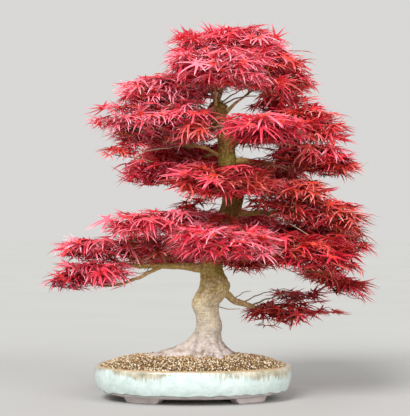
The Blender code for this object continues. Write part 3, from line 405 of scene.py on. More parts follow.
@dataclass(frozen=True)
class GlazeFinish:
    """Stoneware glaze, poured thick over the wall and fired.

    It gives a pale, wet-looking aqua white that breaks to ash brown where it ran thin under the rim,
    with streaks where it ran down, iron specks, and a dark edge where it stops above the bare clay.
    """

    rim_height: float
    streak_width: float = 0.0032
    streak_length: float = 0.034
    patch_size: float = 0.016
    speck_spacing: float = 0.0065
    ash_depth: float = 0.024
    bank_size: float = 0.070
    edge_width: float = 0.0016
    lip_top: float = 0.0010
    lip_bottom: float = 0.0026
    relief: float = 0.0012

    def make(self) -> Material:
        """Make the glaze."""
        nodes = ShaderTree("fired_stoneware_glaze", roughness=0.2, ior=1.52, coat_weight=0.3,
                           coat_roughness=0.08)
        height = nodes.add("SeparateXYZ", {"Vector": nodes.place}).outputs["Z"]
        drawn_down = nodes.add("Mapping", {
            "Vector": nodes.place,
            "Scale": (1.0 / self.streak_width, 1.0 / self.streak_width, 1.0 / self.streak_length)})
        streaks = nodes.add("TexNoise", {
            "Vector": drawn_down, "Scale": 1.0, "Detail": 4.0, "Roughness": 0.6})
        patches = nodes.add("TexNoise", {
            "Vector": nodes.place, "Scale": 1.0 / self.patch_size, "Detail": 5.0, "Roughness": 0.65})
        banks = nodes.add("TexNoise", {"Vector": nodes.place, "Scale": 1.0 / self.bank_size, "Detail": 1.0})
        specks = nodes.add("TexVoronoi", {"Vector": nodes.place, "Scale": 1.0 / self.speck_spacing})
        pool = nodes.add("ValToRGB", {"Fac": patches}, [(0.3, "b2c3be"), (0.5, "c3d1cd"), (0.72, "d3dedc")])
        ash = nodes.add("ValToRGB", {"Fac": patches},
                        [(0.34, "776c56"), (0.45, "94876a"), (0.56, "aca086"), (0.7, "bcb9a6")])
        from_rim = nodes.add("MapRange", {
            "Value": height, "From Min": self.rim_height - self.ash_depth, "From Max": self.rim_height,
            "To Min": -0.50, "To Max": 0.26})
        thick = nodes.add("MapRange", {
            "Value": banks, "From Min": 0.38, "From Max": 0.62, "To Min": -0.22, "To Max": 0.20})
        run = nodes.add("Math", {0: streaks, 1: from_rim}, operation="ADD")
        run = nodes.add("Math", {0: run, 1: thick}, operation="ADD")
        thinned = nodes.add("MapRange", {"Value": run, "From Min": 0.36, "From Max": 0.66, "To Max": 0.85},
                            interpolation_type="SMOOTHSTEP")
        dots = nodes.add("MapRange", {
            "Value": specks, "From Min": 0.05, "From Max": 0.14, "To Min": 0.45, "To Max": 0.0})
        lip = nodes.add("MapRange", {
            "Value": height, "From Min": self.rim_height - self.lip_bottom,
            "From Max": self.rim_height - self.lip_top})
        edge = nodes.add("MapRange", {
            "Value": nodes.add("Attribute", attribute_name="glaze_height").outputs["Fac"],
            "From Min": self.edge_width * 0.4, "From Max": self.edge_width, "To Min": 0.85, "To Max": 0.0})
        gloss = nodes.add("MapRange", {"Value": patches, "To Min": 0.34, "To Max": 0.14})
        layers = [(thinned, ash), (dots, "6f5b45"), (lip, "b09a78"), (edge, "57504a")]
        return nodes.finish(pool, layers, gloss, patches, self.relief)


@dataclass(frozen=True)
class ClayFinish:
    """Bare stoneware, fired brown and left unglazed: matt, with a sandy tooth and darker scorching."""

    sand_size: float = 0.0016
    scorch_size: float = 0.022
    relief: float = 0.0006

    def make(self) -> Material:
        """Make the bare clay. Its sand is drawn at 1.6 mm, twice life, so that it shows."""
        nodes = ShaderTree("bare_fired_stoneware", roughness=0.82)
        scorch = nodes.add("TexNoise", {
            "Vector": nodes.place, "Scale": 1.0 / self.scorch_size, "Detail": 3.0})
        sand = nodes.add("TexNoise", {"Vector": nodes.place, "Scale": 1.0 / self.sand_size, "Detail": 2.0})
        body = nodes.add("ValToRGB", {"Fac": scorch}, [(0.3, "c2b3b1"), (0.5, "dacecb"), (0.7, "e8dfdc")])
        tooth = nodes.add("ValToRGB", {"Fac": sand}, [(0.35, "a39490"), (0.65, "e0d6d0")])
        return nodes.finish(body, [(0.3, tooth)], None, sand, self.relief)


@dataclass(frozen=True)
class BarkFinish:
    """Maple bark: smooth and pale low down, rough and pitted at the swelling, mossy green above."""

    low: float
    high: float
    patch_size: float = 0.018
    grain_width: float = 0.0034
    grain_length: float = 0.0046
    pit_spacing: float = 0.0048
    wrinkle_length: float = 0.016
    wrinkle_gap: float = 0.0026
    relief: float = 0.0011

    def make(self) -> Material:
        """Make the trunk's bark. Its colours change with the height, as a share of the trunk's."""
        nodes = ShaderTree("maple_bark", roughness=0.78, specular_ior_level=0.3)
        height = nodes.add("SeparateXYZ", {"Vector": nodes.place}).outputs["Z"]
        patches = nodes.add("TexNoise", {
            "Vector": nodes.place, "Scale": 1.0 / self.patch_size, "Detail": 5.0, "Roughness": 0.62})
        upright = nodes.add("Mapping", {
            "Vector": nodes.place,
            "Scale": (1.0 / self.grain_width, 1.0 / self.grain_width, 1.0 / self.grain_length)})
        grain = nodes.add("TexNoise", {"Vector": upright, "Scale": 1.0, "Detail": 3.0, "Roughness": 0.6})
        level_lines = nodes.add("Mapping", {
            "Vector": nodes.place,
            "Scale": (1.0 / self.wrinkle_length, 1.0 / self.wrinkle_length, 1.0 / self.wrinkle_gap)})
        wrinkles = nodes.add("TexNoise", {"Vector": level_lines, "Scale": 1.0, "Detail": 2.0})
        pits = nodes.add("TexVoronoi", {"Vector": nodes.place, "Scale": 1.0 / self.pit_spacing})
        level = nodes.add("MapRange", {"Value": height, "From Min": self.low, "From Max": self.high})
        drift = nodes.add("MapRange", {"Value": patches, "To Min": -0.10, "To Max": 0.10})
        place = nodes.add("Math", {0: level, 1: drift}, operation="ADD")
        light = nodes.add("ValToRGB", {"Fac": place},
                          [(0.02, "cac0bc"), (0.10, "c0b7ab"), (0.20, "dacfb4"), (0.26, "eee0b8"),
                           (0.31, "dcc986"), (0.38, "c0ac58"), (0.6, "ae9048"), (0.92, "a48642")])
        dark = nodes.add("ValToRGB", {"Fac": place},
                         [(0.02, "aea29a"), (0.10, "a99d90"), (0.20, "c2b294"), (0.26, "caae7a"),
                          (0.31, "ac9048"), (0.38, "88702a"), (0.6, "725820"), (0.92, "664c1a")])
        streak = nodes.add("MapRange", {"Value": grain, "From Min": 0.40, "From Max": 0.62})
        crease = nodes.add("MapRange", {
            "Value": wrinkles, "From Min": 0.30, "From Max": 0.48, "To Min": 0.42, "To Max": 0.0})
        # Darker bark where the trunk's relief sinks in: painted shade in its hollows
        hollow = nodes.add("Attribute", attribute_name="hollow").outputs["Fac"]
        moss = nodes.add("MapRange", {"Value": patches, "From Min": 0.50, "From Max": 0.64, "To Max": 0.65})
        mossy = nodes.add("MapRange", {"Value": level, "From Min": 0.28, "From Max": 0.37})
        moss = nodes.add("Math", {0: moss, 1: mossy}, operation="MULTIPLY")
        pit = nodes.add("MapRange", {
            "Value": pits, "From Min": 0.12, "From Max": 0.34, "To Min": 0.42, "To Max": 0.0})
        pitted = nodes.add("MapRange", {"Value": place, "From Min": 0.20, "From Max": 0.27})
        pit = nodes.add("Math", {0: pit, 1: pitted}, operation="MULTIPLY")
        layers = [(streak, light), (crease, "8f7a5e"), (hollow, "7a6247"), (moss, "86842c"),
                  (pit, "5d4520")]
        relief = nodes.add("Math", {0: grain, 1: pit}, operation="SUBTRACT")
        relief = nodes.add("Math", {0: relief, 1: wrinkles}, operation="ADD")
        return nodes.finish(dark, layers, None, relief, self.relief)


@dataclass(frozen=True)
class LimbFinish:
    """Bark of a limb: scaly, with a skin of green algae that thins towards the young wood."""

    name: str
    pale: str
    deep: str
    algae: str
    scale_size: float = 0.0045
    patch_size: float = 0.014
    relief: float = 0.0010

    def make(self) -> Material:
        """Make a limb's bark. Its scales are drawn at 4.5 mm, half as large again as life, to show."""
        nodes = ShaderTree(self.name, roughness=0.8, specular_ior_level=0.3)
        scales = nodes.add("TexNoise", {
            "Vector": nodes.place, "Scale": 1.0 / self.scale_size, "Detail": 4.0, "Roughness": 0.65})
        patches = nodes.add("TexNoise", {
            "Vector": nodes.place, "Scale": 1.0 / self.patch_size, "Detail": 2.0})
        wood = nodes.add("ValToRGB", {"Fac": scales}, [(0.36, self.deep), (0.62, self.pale)])
        green = nodes.add("MapRange", {"Value": patches, "From Min": 0.46, "From Max": 0.58, "To Max": 0.7})
        return nodes.finish(wood, [(green, self.algae)], None, scales, self.relief)


@dataclass(frozen=True)
class GritFinish:
    """Crushed lava, pumice and fired clay: each grain its own tan, cream, ochre or brown, and dull."""

    mottle_size: float = 0.0016
    relief: float = 0.0005

    def make(self) -> Material:
        """Make the grains' finish, which reads each grain's own tint."""
        nodes = ShaderTree("crushed_grit", roughness=0.92, specular_ior_level=0.25)
        tint = nodes.add("Attribute", attribute_name="grain_tint").outputs["Fac"]
        body = nodes.add("ValToRGB", {"Fac": tint},
                         [(0.0, "644828"), (0.16, "94744a"), (0.36, "b69a70"), (0.56, "cdbb98"),
                          (0.78, "ece2ce"), (0.9, "b28c62"), (1.0, "865a38")])
        mottle = nodes.add("TexNoise", {
            "Vector": nodes.place, "Scale": 1.0 / self.mottle_size, "Detail": 2.0})
        dark = nodes.add("MapRange", {
            "Value": mottle, "From Min": 0.35, "From Max": 0.55, "To Min": 0.3, "To Max": 0.0})
        return nodes.finish(body, [(dark, "5b4227")], None, mottle, self.relief)


@dataclass(frozen=True)
class SoilFinish:
    """The fines between the grains: dark, damp and dull."""

    crumb_size: float = 0.0022
    relief: float = 0.0012

    def make(self) -> Material:
        """Make the soil under the grains."""
        nodes = ShaderTree("damp_fines", roughness=0.95)
        crumbs = nodes.add("TexNoise", {"Vector": nodes.place, "Scale": 1.0 / self.crumb_size, "Detail": 3.0})
        colour = nodes.add("ValToRGB", {"Fac": crumbs}, [(0.35, "2b1d10"), (0.7, "6b5233")])
        return nodes.finish(colour, (), None, crumbs, self.relief)


@dataclass(frozen=True)
class LeafFinish:
    """Thin maple leaf in autumn red: one plain tint, with a soft waxy sheen."""

    palette: Palette
    rank: int

    def make(self) -> Material:
        """Make one tint of one palette, as a plain colour."""
        name = f"maple_leaf_{self.palette.name.lower()}_{self.rank + 1}"
        return ShaderTree(name, roughness=0.55, specular_ior_level=0.22,
                          base_color=self.palette.value[self.rank]).material


@dataclass(frozen=True)
class PaperFinish:
    """Seamless studio paper: matt and pale, with the faintest cloudiness."""

    cloud_size: float = 0.4

    def make(self) -> Material:
        """Make the floor's paper."""
        nodes = ShaderTree("studio_paper", roughness=0.9, specular_ior_level=0.1)
        cloud = nodes.add("TexNoise", {"Vector": nodes.place, "Scale": 1.0 / self.cloud_size})
        return nodes.finish(nodes.add("ValToRGB", {"Fac": cloud}, [(0.0, "adadab"), (1.0, "b5b5b3")]))


class ShapeTree:
    """A tree of geometry nodes with named inputs, which turns a source object into a plain mesh."""

    def __init__(self, name: str) -> None:
        """Start a tree.

        Args:
            name: The tree's name.
        """
        self.tree = bpy.data.node_groups.new(name, "GeometryNodeTree")
        self.tree.interface.new_socket("Geometry", in_out="INPUT", socket_type="NodeSocketGeometry")
        self.tree.interface.new_socket("Geometry", in_out="OUTPUT", socket_type="NodeSocketGeometry")
        self.start = self.tree.nodes.new("NodeGroupInput")
        self.source = self.start.outputs["Geometry"]
        self.identifiers: dict[str, str] = {}

    def add_input(self, name: str, kind: str) -> NodeSocket:
        """Give the tree a named input.

        Args:
            name: The input's name.
            kind: The short name of its kind of socket.

        Returns:
            The socket that brings its value.
        """
        item = self.tree.interface.new_socket(name, in_out="INPUT", socket_type="NodeSocket" + kind)
        self.identifiers[name] = item.identifier
        return self.start.outputs[name]

    def add(self, kind: str, inputs: dict | None = None, **settings: object) -> Node:
        """Add a node to this tree; the arguments are those of add_node."""
        return add_node(self.tree, kind, inputs, **settings)

    def close(self, geometry: Node, finish: NodeSocket | None = None) -> None:
        """Make what has been built real, dress it, and link it to the tree's output.

        Args:
            geometry: The node that gives the built geometry.
            finish: The material, where the pieces aren't real and dressed already.
        """
        if finish:
            real = self.add("GeometryNodeRealizeInstances", {"Geometry": geometry})
            geometry = self.add("GeometryNodeSetMaterial", {"Geometry": real, "Material": finish})
        self.add("NodeGroupOutput", {"Geometry": geometry})

    def shape(self, piece: Object, values: dict) -> None:
        """Run the tree on a piece and keep the result as the piece's own plain mesh.

        Args:
            piece: The source object.
            values: The named inputs' values.
        """
        modifier = piece.modifiers.new(self.tree.name, "NODES")
        modifier.node_group = self.tree
        for name, value in values.items():
            modifier[self.identifiers[name]] = value
        keep_evaluated(piece)


class LimbTree(ShapeTree):
    """Turns paths of points with a radius each into round limbs with knobbly bark."""

    def __init__(self) -> None:
        """Build the tree."""
        super().__init__("limbs_along_paths")
        sides = self.add_input("Sides", "Int")
        knob_height = self.add_input("Knob Height", "Float")
        knob_size = self.add_input("Knob Size", "Float")
        bark = self.add_input("Bark", "Material")
        curves = self.add("GeometryNodeMeshToCurve", {"Mesh": self.source})
        ring = self.add("GeometryNodeCurvePrimitiveCircle", {"Resolution": sides, "Radius": 1.0})
        radius = self.add("GeometryNodeInputNamedAttribute", {"Name": "radius"}, data_type="FLOAT")
        limbs = self.add("GeometryNodeCurveToMesh", {
            "Curve": curves, "Profile Curve": ring, "Scale": radius, "Fill Caps": True})
        place = self.add("GeometryNodeInputPosition")
        scale = self.add("ShaderNodeMath", {0: 1.0, 1: knob_size}, operation="DIVIDE")
        knobs = self.add("ShaderNodeTexNoise", {"Vector": place, "Scale": scale, "Detail": 3.0})
        middle = self.add("ShaderNodeMath", {0: knobs, 1: 0.5}, operation="SUBTRACT")
        height = self.add("ShaderNodeMath", {0: middle, 1: knob_height}, operation="MULTIPLY")
        normal = self.add("GeometryNodeInputNormal")
        offset = self.add("ShaderNodeVectorMath", {0: normal, "Scale": height}, operation="SCALE")
        moved = self.add("GeometryNodeSetPosition", {"Geometry": limbs, "Offset": offset})
        self.close(self.add("GeometryNodeSetShadeSmooth", {"Geometry": moved}), bark)


class LeafTree(ShapeTree):
    """Sets leaves of several shapes on points that carry their turn, size, shape and tint."""

    def __init__(self, tints: int) -> None:
        """Build the tree.

        Args:
            tints: How many tints it deals, a palette's and its accent's.
        """
        super().__init__("leaves_on_stalks")
        shapes = self.add_input("Leaf Shapes", "Collection")
        length = self.add_input("Leaf Length", "Float")
        materials = [self.add_input(f"Tint {rank + 1}", "Material") for rank in range(tints)]
        leaves = self.add("GeometryNodeCollectionInfo", {
            "Collection": shapes, "Separate Children": True, "Reset Children": True})
        own = {name: self.add("GeometryNodeInputNamedAttribute", {"Name": name}, data_type=kind)
               for name, kind in (("turn", "FLOAT_VECTOR"), ("size", "FLOAT"), ("shape", "INT"),
                                  ("tint", "FLOAT"), ("pale", "FLOAT"), ("heart_tint", "FLOAT"),
                                  ("heart", "FLOAT"))}
        turn = self.add("FunctionNodeEulerToRotation", {"Euler": own["turn"]})
        size = self.add("ShaderNodeMath", {0: own["size"], 1: length}, operation="MULTIPLY")
        placed = self.add("GeometryNodeInstanceOnPoints", {
            "Points": self.source, "Instance": leaves, "Pick Instance": True,
            "Instance Index": own["shape"], "Rotation": turn, "Scale": size})
        made = self.add("GeometryNodeRealizeInstances", {"Geometry": placed})
        # The pale steps move lobe tips to paler tints: a painted highlight
        plain = self.add("ShaderNodeMath", {0: own["tint"], 1: own["pale"]}, operation="ADD")
        to_heart = self.add("ShaderNodeMath", {0: own["heart_tint"], 1: plain}, operation="SUBTRACT")
        here = self.add("ShaderNodeMath", {0: to_heart, 1: own["heart"], 2: plain},
                        operation="MULTIPLY_ADD")
        for rank, material in enumerate(materials):
            chosen = self.add("FunctionNodeCompare", {"A": here, "B": float(rank), "Epsilon": 0.25},
                              data_type="FLOAT", operation="EQUAL")
            made = self.add("GeometryNodeSetMaterial", {
                "Geometry": made, "Selection": chosen, "Material": material})
        self.close(made)


class GrainTree(ShapeTree):
    """Strews grains of several shapes over a surface, each with a turn, size and tint of its own."""

    def __init__(self) -> None:
        """Build the tree."""
        super().__init__("grains_over_surface")
        shapes = self.add_input("Grain Shapes", "Collection")
        spacing = self.add_input("Grain Spacing", "Float")
        width = self.add_input("Grain Width", "Float")
        density = self.add_input("Most Per Area", "Float")
        seed = self.add_input("Seed", "Int")
        finish = self.add_input("Finish", "Material")
        points = self.add("GeometryNodeDistributePointsOnFaces", {
            "Mesh": self.source, "Distance Min": spacing, "Density Max": density, "Seed": seed},
            distribute_method="POISSON")
        grains = self.add("GeometryNodeCollectionInfo", {
            "Collection": shapes, "Separate Children": True, "Reset Children": True})
        turn = self.add("FunctionNodeRandomValue", {"Max": (tau, tau, tau), "Seed": seed},
                        data_type="FLOAT_VECTOR")
        rotation = self.add("FunctionNodeEulerToRotation", {"Euler": turn})
        share = self.add("FunctionNodeRandomValue", {
            RANDOM_LEAST: 0.6, RANDOM_MOST: 1.4, "Seed": 3}, data_type="FLOAT").outputs[RANDOM_RESULT]
        size = self.add("ShaderNodeMath", {0: share, 1: width}, operation="MULTIPLY")
        placed = self.add("GeometryNodeInstanceOnPoints", {
            "Points": points, "Instance": grains, "Pick Instance": True, "Rotation": rotation, "Scale": size})
        tint = self.add("FunctionNodeRandomValue", {
            RANDOM_LEAST: 0.0, RANDOM_MOST: 1.0, "Seed": 5}, data_type="FLOAT").outputs[RANDOM_RESULT]
        tinted = self.add("GeometryNodeStoreNamedAttribute", {
            "Geometry": placed, "Name": "grain_tint", "Value": tint}, data_type="FLOAT", domain="INSTANCE")
        self.close(tinted, finish)


def keep_evaluated(piece: Object) -> None:
    """Make a piece's evaluated shape its own mesh, and drop its modifiers.

    Args:
        piece: The object whose modifiers are run.
    """
    bpy.context.view_layer.update()
    graph = bpy.context.evaluated_depsgraph_get()
    shaped = bpy.data.meshes.new_from_object(piece.evaluated_get(graph), preserve_all_data_layers=True,
                                             depsgraph=graph)
    old = piece.data
    piece.modifiers.clear()
    piece.data = shaped
    shaped.name = piece.name
    bpy.data.meshes.remove(old)


@dataclass(frozen=True)
class PlantFrame:
    """Where the tables' origin, the middle of the pot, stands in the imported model, in metres."""

    x: float
    y: float

    @classmethod
    def from_pot(cls) -> "PlantFrame":
        """Read the middle of the pot's box."""
        low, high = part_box("pot")
        return cls(0.5 * (low.x + high.x), 0.5 * (low.y + high.y))

    def metres(self, places: Sequence) -> np.ndarray:
        """Turn rows of x, y and z in millimetres from the pot's middle into the model's metres."""
        return np.asarray([tuple(place) for place in places], dtype=float) * MM + (self.x, self.y, 0.0)

    def make_piece(self, name: str, places: Sequence, faces: Sequence,
                   edges: Sequence = ()) -> Object:
        """Make a mesh object at the origin from places in millimetres.

        Args:
            name: The object's name.
            places: Rows of x, y and z from the pot's middle.
            faces: Rows of places' numbers.
            edges: Pairs of places' numbers, for a mesh of wires.

        Returns:
            The new object.
        """
        mesh = bpy.data.meshes.new(name)
        mesh.from_pydata(self.metres(places).tolist(), edges, faces)
        mesh.update()
        piece = bpy.data.objects.new(name, mesh)
        bpy.context.scene.collection.objects.link(piece)
        return piece


def publish(piece: Object, nodes: Sequence[str] = ()) -> None:
    """Hand a finished piece to the frame and report it.

    Args:
        piece: The finished object.
        nodes: The CAD nodes that it stands for.
    """
    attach(piece, BODY)
    if nodes:
        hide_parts(*nodes)
    triangles = sum(len(face.vertices) - 2 for face in piece.data.polygons)
    logging.info("%s: %d triangles", piece.name, triangles)


def set_attribute(mesh: Mesh, name: str, kind: str, values: Sequence,
                  domain: str = "POINT") -> None:
    """Give a mesh a named attribute.

    Args:
        mesh: The mesh.
        name: The attribute's name.
        kind: Its kind of data.
        values: One value, or one row, for each element.
        domain: What kind of element it is kept on.
    """
    layer = mesh.attributes.new(name, kind, domain)
    key = "vector" if kind == "FLOAT_VECTOR" else "value"
    layer.data.foreach_set(key, np.asarray(values).ravel())


def ring_faces(rings: int, sides: int) -> list[tuple[int, ...]]:
    """Faces between closed rings of points.

    Args:
        rings: How many rings there are.
        sides: How many points a ring has.

    Returns:
        The faces, which point outwards where the rings turn anticlockwise and rise.
    """
    faces = []
    for low in range(0, (rings - 1) * sides, sides):
        for side in range(sides):
            after = (side + 1) % sides
            faces.append((low + side, low + after, low + sides + after, low + sides + side))
    return faces


def closed_faces(rings: int, sides: int) -> list[tuple[int, ...]]:
    """Faces between closed rings of points, and over the first ring and the last."""
    last = (rings - 1) * sides
    return ring_faces(rings, sides) + [tuple(reversed(range(sides))), tuple(range(last, last + sides))]


def drop_shapes(holder: Collection) -> None:
    """Delete a collection of source shapes with its objects."""
    for shape in list(holder.objects):
        bpy.data.objects.remove(shape)
    bpy.data.collections.remove(holder)


def ramp(value: float, start: float, end: float) -> float:
    """How far a value has come from a start to an end, from 0 to 1."""
    return min(max((value - start) / (end - start), 0.0), 1.0)


def spline(values: Sequence[float], position: float) -> float:
    """Read a smooth curve through a row of values.

    Args:
        values: The row.
        position: A place along it, counted in values.

    Returns:
        The value there.
    """
    index = min(int(position), len(values) - 2)
    share = position - index
    before = values[max(index - 1, 0)]
    here = values[index]
    after = values[index + 1]
    beyond = values[min(index + 2, len(values) - 1)]
    return 0.5 * (2.0 * here + (after - before) * share
                  + (2.0 * before - 5.0 * here + 4.0 * after - beyond) * share ** 2
                  + (3.0 * here - before - 3.0 * after + beyond) * share ** 3)


def curve_path(start: Vector, leave: Vector, end: Vector, arrive: Vector, steps: int) -> list[Vector]:
    """Points of a curve that leaves and arrives along given directions.

    Args:
        start: Its first point.
        leave: The direction there.
        end: Its last point.
        arrive: The direction there.
        steps: How many steps it has.

    Returns:
        The points, one more than the steps.
    """
    reach = (end - start).length
    first = start + leave * reach * START_HANDLE
    second = end - arrive * reach * END_HANDLE
    path = []
    for step in range(steps + 1):
        share = step / steps
        rest = 1.0 - share
        path.append(start * rest ** 3 + first * 3 * rest ** 2 * share
                    + second * 3 * rest * share ** 2 + end * share ** 3)
    return path


@dataclass
class Limb:
    """A limb's path and radii in millimetres."""

    path: list[Vector]
    radii: list[float]

    def place(self, share: float) -> Vector:
        """The point at a share of the limb's length."""
        position = share * (len(self.path) - 1)
        index = min(int(position), len(self.path) - 2)
        return self.path[index].lerp(self.path[index + 1], position - index)

    def direction(self, index: int) -> Vector:
        """The direction in which the limb runs at one of its points."""
        after = min(index + 1, len(self.path) - 1)
        return (self.path[after] - self.path[after - 1]).normalized()


def taper(first: float, last: float, count: int) -> list[float]:
    """Radii from one to another, evenly."""
    return [first + (last - first) * index / (count - 1) for index in range(count)]


@dataclass(frozen=True)
class TrunkLine:
    """The line and the outline of the trunk, by the source's rule."""

    root_top: float = 125.0
    soil_line: float = 74.0
    root_curve: float = 3.0
    root_limit: float = 1.12

    def at(self, height: float) -> tuple[float, float, float]:
        """The middle of the trunk and its radius at a height.

        Args:
            height: The height in millimetres.

        Returns:
            The middle's x and y, and the radius.
        """
        row = 0
        while row < len(TRUNK) - 2 and TRUNK[row + 1].height < height:
            row += 1
        low = TRUNK[row].height
        position = row + (height - low) / (TRUNK[row + 1].height - low)
        position = min(max(position, 0.0), len(TRUNK) - 1.0)
        x = spline([station.x for station in TRUNK], position)
        y = spline([station.y for station in TRUNK], position)
        return x, y, 0.5 * spline([station.thickness for station in TRUNK], position)

    def swelling(self, height: float, heading: float, radius: float) -> float:
        """How far roots and knots stand out from the plain trunk.

        Args:
            height: The height in millimetres.
            heading: The heading in degrees.
            radius: The plain trunk's radius there.

        Returns:
            The swelling in millimetres.
        """
        flare = max(self.root_top - height, 0.0) / (self.root_top - self.soil_line)
        flare = min(flare ** self.root_curve, self.root_limit)
        swell = 0.0
        if flare > 0.0:
            for root in ROOTS:
                lobe = 2.0 ** -((turn_between(heading, root.heading) / root.spread) ** 2)
                swell = max(swell, (root.reach - radius) * lobe * flare)
        for knot in KNOTS:
            across = radians(turn_between(heading, knot.heading)) * (radius + swell)
            swell += knot.swell * 2.0 ** -((hypot(across, height - knot.height) / knot.size) ** 2)
        return swell

    def radius(self, height: float, heading: float) -> float:
        """The trunk's radius at a height and a heading, with its roots and knots."""
        radius = self.at(height)[2]
        return radius + self.swelling(height, heading, radius)


def turn_between(first: float, second: float) -> float:
    """The angle between two headings in degrees, the short way round."""
    return abs((first - second + 180.0) % 360.0 - 180.0)


@dataclass
class Skeleton:
    """The paths of the trunk, the boughs and the stems, worked out by the source's rule."""

    line: TrunkLine = field(default_factory=TrunkLine)
    trunk_points: int = 40
    bough_steps: int = 30
    stem_steps: int = 12
    stem_lead: float = 4.0
    stem_reach: float = 0.3
    stem_share: float = 0.94
    stem_tip: float = 1.2
    trunk_stem_lift: float = 8.0
    trunk_stem_depth: float = 0.6
    trunk_stem_radius: float = 3.4
    fork_offset: float = 1.9
    fork_spread: float = 0.6
    fork_share: float = 0.8
    touching_gap: float = 0.3
    tip_slimming: float = 0.9
    crown_slimming: float = 0.5
    root_slimming: float = 0.6
    crown_height: float = 450.0
    tuft_turn: float = 2.0
    tuft_root: float = 1.9
    tuft_tip: float = 0.9
    crook: float = 3.2
    crook_length: float = 14.0
    crook_to_tip: float = 1.4
    shoot_tip_share: float = 0.22
    limbs: dict[str, Limb] = field(default_factory=dict)
    stems: dict[str, Limb] = field(default_factory=dict)

    def grow(self) -> None:
        """Work out every path."""
        self.limbs["trunk"] = self.trunk_limb()
        for bough in BOUGHS:
            self.limbs[bough.name] = self.bough_limb(bough)
        for mass in MASSES:
            self.stems[mass.name] = self.stem_limb(mass)
        for tuft in TUFTS:
            self.stems[tuft.name] = self.tuft_limb(tuft)

    def trunk_limb(self) -> Limb:
        """The trunk as a path, for clearances and for what leaves it."""
        heights = np.linspace(TRUNK[0].height, TRUNK[-1].height, self.trunk_points)
        path = [Vector((*self.line.at(height)[:2], height)) for height in heights]
        return Limb(path, [self.line.at(height)[2] for height in heights])

    def bough_limb(self, bough: Bough) -> Limb:
        """The path of a bough from the middle of what it leaves.

        Args:
            bough: The bough's row.

        Returns:
            Its path and radii.
        """
        if bough.parent == "trunk":
            start = Vector((*self.line.at(bough.place)[:2], bough.place))
        else:
            start = self.limbs[bough.parent].place(bough.place)
        tip = Vector(bough.tip)
        level = Vector((tip.x - start.x, tip.y - start.y, 0.0)).normalized()
        leave = level * cos(radians(bough.rise)) + Vector((0, 0, sin(radians(bough.rise))))
        arrive = ((tip - start).normalized() + level).normalized()
        path = curve_path(start, leave, tip, arrive, self.bough_steps)
        slimming = self.crown_slimming if start.z > self.crown_height else self.tip_slimming
        root_slimming = 1.0 - self.root_slimming + self.root_slimming * slimming
        return Limb(path, taper(0.5 * bough.root_thickness * root_slimming,
                                0.5 * bough.tip_thickness * slimming, len(path)))

    def stem_limb(self, mass: Mass) -> Limb:
        """The stem of a mass, from its limb's tip or the trunk to beyond its middle.

        Args:
            mass: The mass's row.

        Returns:
            Its path and radii.
        """
        centre = Vector(mass.centre)
        if mass.limb == "trunk":
            height = centre.z + self.trunk_stem_lift
            x, y, radius = self.line.at(height)
            leave = Vector((centre.x - x, centre.y - y, 0.0)).normalized()
            start = Vector((x, y, height)) + leave * self.trunk_stem_depth * radius
            root_radius = self.trunk_stem_radius
        else:
            limb = self.limbs[mass.limb]
            leave = limb.direction(len(limb.path) - 1)
            start = limb.path[-1] - leave * self.touching_gap
            root_radius = limb.radii[-1] * self.stem_share
            others = [Vector(other.centre) for other in MASSES
                      if other.limb == mass.limb and other.name != mass.name]
            if others:
                aside = centre - others[0]
                aside = (aside - leave * aside.dot(leave)).normalized()
                start += aside * self.fork_offset * self.fork_spread
                root_radius *= self.fork_share
        outward = Vector(space_axes(self.line, mass)[0])
        end = centre + outward * mass.half[0] * self.stem_reach
        arrive = (outward + (end - start).normalized()).normalized()
        path = [start] + curve_path(start + leave * self.stem_lead, leave, end, arrive, self.stem_steps)
        return Limb(path, taper(root_radius, self.stem_tip, len(path)))

    def nearest(self, limb: Limb, place: Vector) -> int:
        """The number of a limb's point that is nearest to a place."""
        return min(range(len(limb.path)), key=lambda index: (limb.path[index] - place).length)

    def tuft_limb(self, tuft: Mass) -> Limb:
        """The stem of a tuft, from the nearest point of its limb to beyond its middle.

        Args:
            tuft: The tuft's row.

        Returns:
            Its path and radii.
        """
        centre = Vector(tuft.centre)
        limb = self.limbs[tuft.limb]
        index = self.nearest(limb, centre)
        start = limb.path[index]
        outward = Vector(space_axes(self.line, tuft)[0])
        leave = (limb.direction(index) + (centre - start).normalized() * self.tuft_turn).normalized()
        end = centre + outward * tuft.half[0] * self.stem_reach
        arrive = (outward + (end - start).normalized()).normalized()
        path = curve_path(start, leave, end, arrive, self.stem_steps)
        return Limb(path, taper(self.tuft_root, self.tuft_tip, len(path)))

    def shoot_limb(self, shoot: Shoot) -> Limb:
        """A bare twig's crooked path from its limb.

        Args:
            shoot: The twig's row.

        Returns:
            Its path and radii.
        """
        if shoot.limb == "trunk":
            start = Vector((*self.line.at(shoot.place)[:2], shoot.place))
        else:
            start = self.limbs[shoot.limb].place(shoot.place)
        tip = Vector(shoot.tip)
        path = []
        for step in range(self.bough_steps + 1):
            share = step / self.bough_steps
            place = start.lerp(tip, share) + Vector((0, 0, shoot.sag * sin(pi * share)))
            bent = sin(pi * min(share * self.crook_to_tip, 1.0))
            path.append(place + noise.noise_vector(place / self.crook_length) * self.crook * bent)
        return Limb(path, taper(0.5 * shoot.thickness, self.shoot_tip_share * shoot.thickness, len(path)))


def space_axes(line: TrunkLine, mass: Mass) -> np.ndarray:
    """The three axes of a mass's room.

    Args:
        line: The trunk's line.
        mass: The mass's row.

    Returns:
        Rows that run outwards from the trunk with its droop, across, and up.
    """
    height = min(max(mass.centre[2], TRUNK[0].height), TRUNK[-1].height)
    x, y, _ = line.at(height)
    heading = atan2(mass.centre[1] - y, mass.centre[0] - x)
    droop = radians(mass.droop)
    outward = np.array((cos(heading) * cos(droop), sin(heading) * cos(droop), -sin(droop)))
    across = np.array((-sin(heading), cos(heading), 0.0))
    return np.array((outward, across, np.cross(outward, across)))


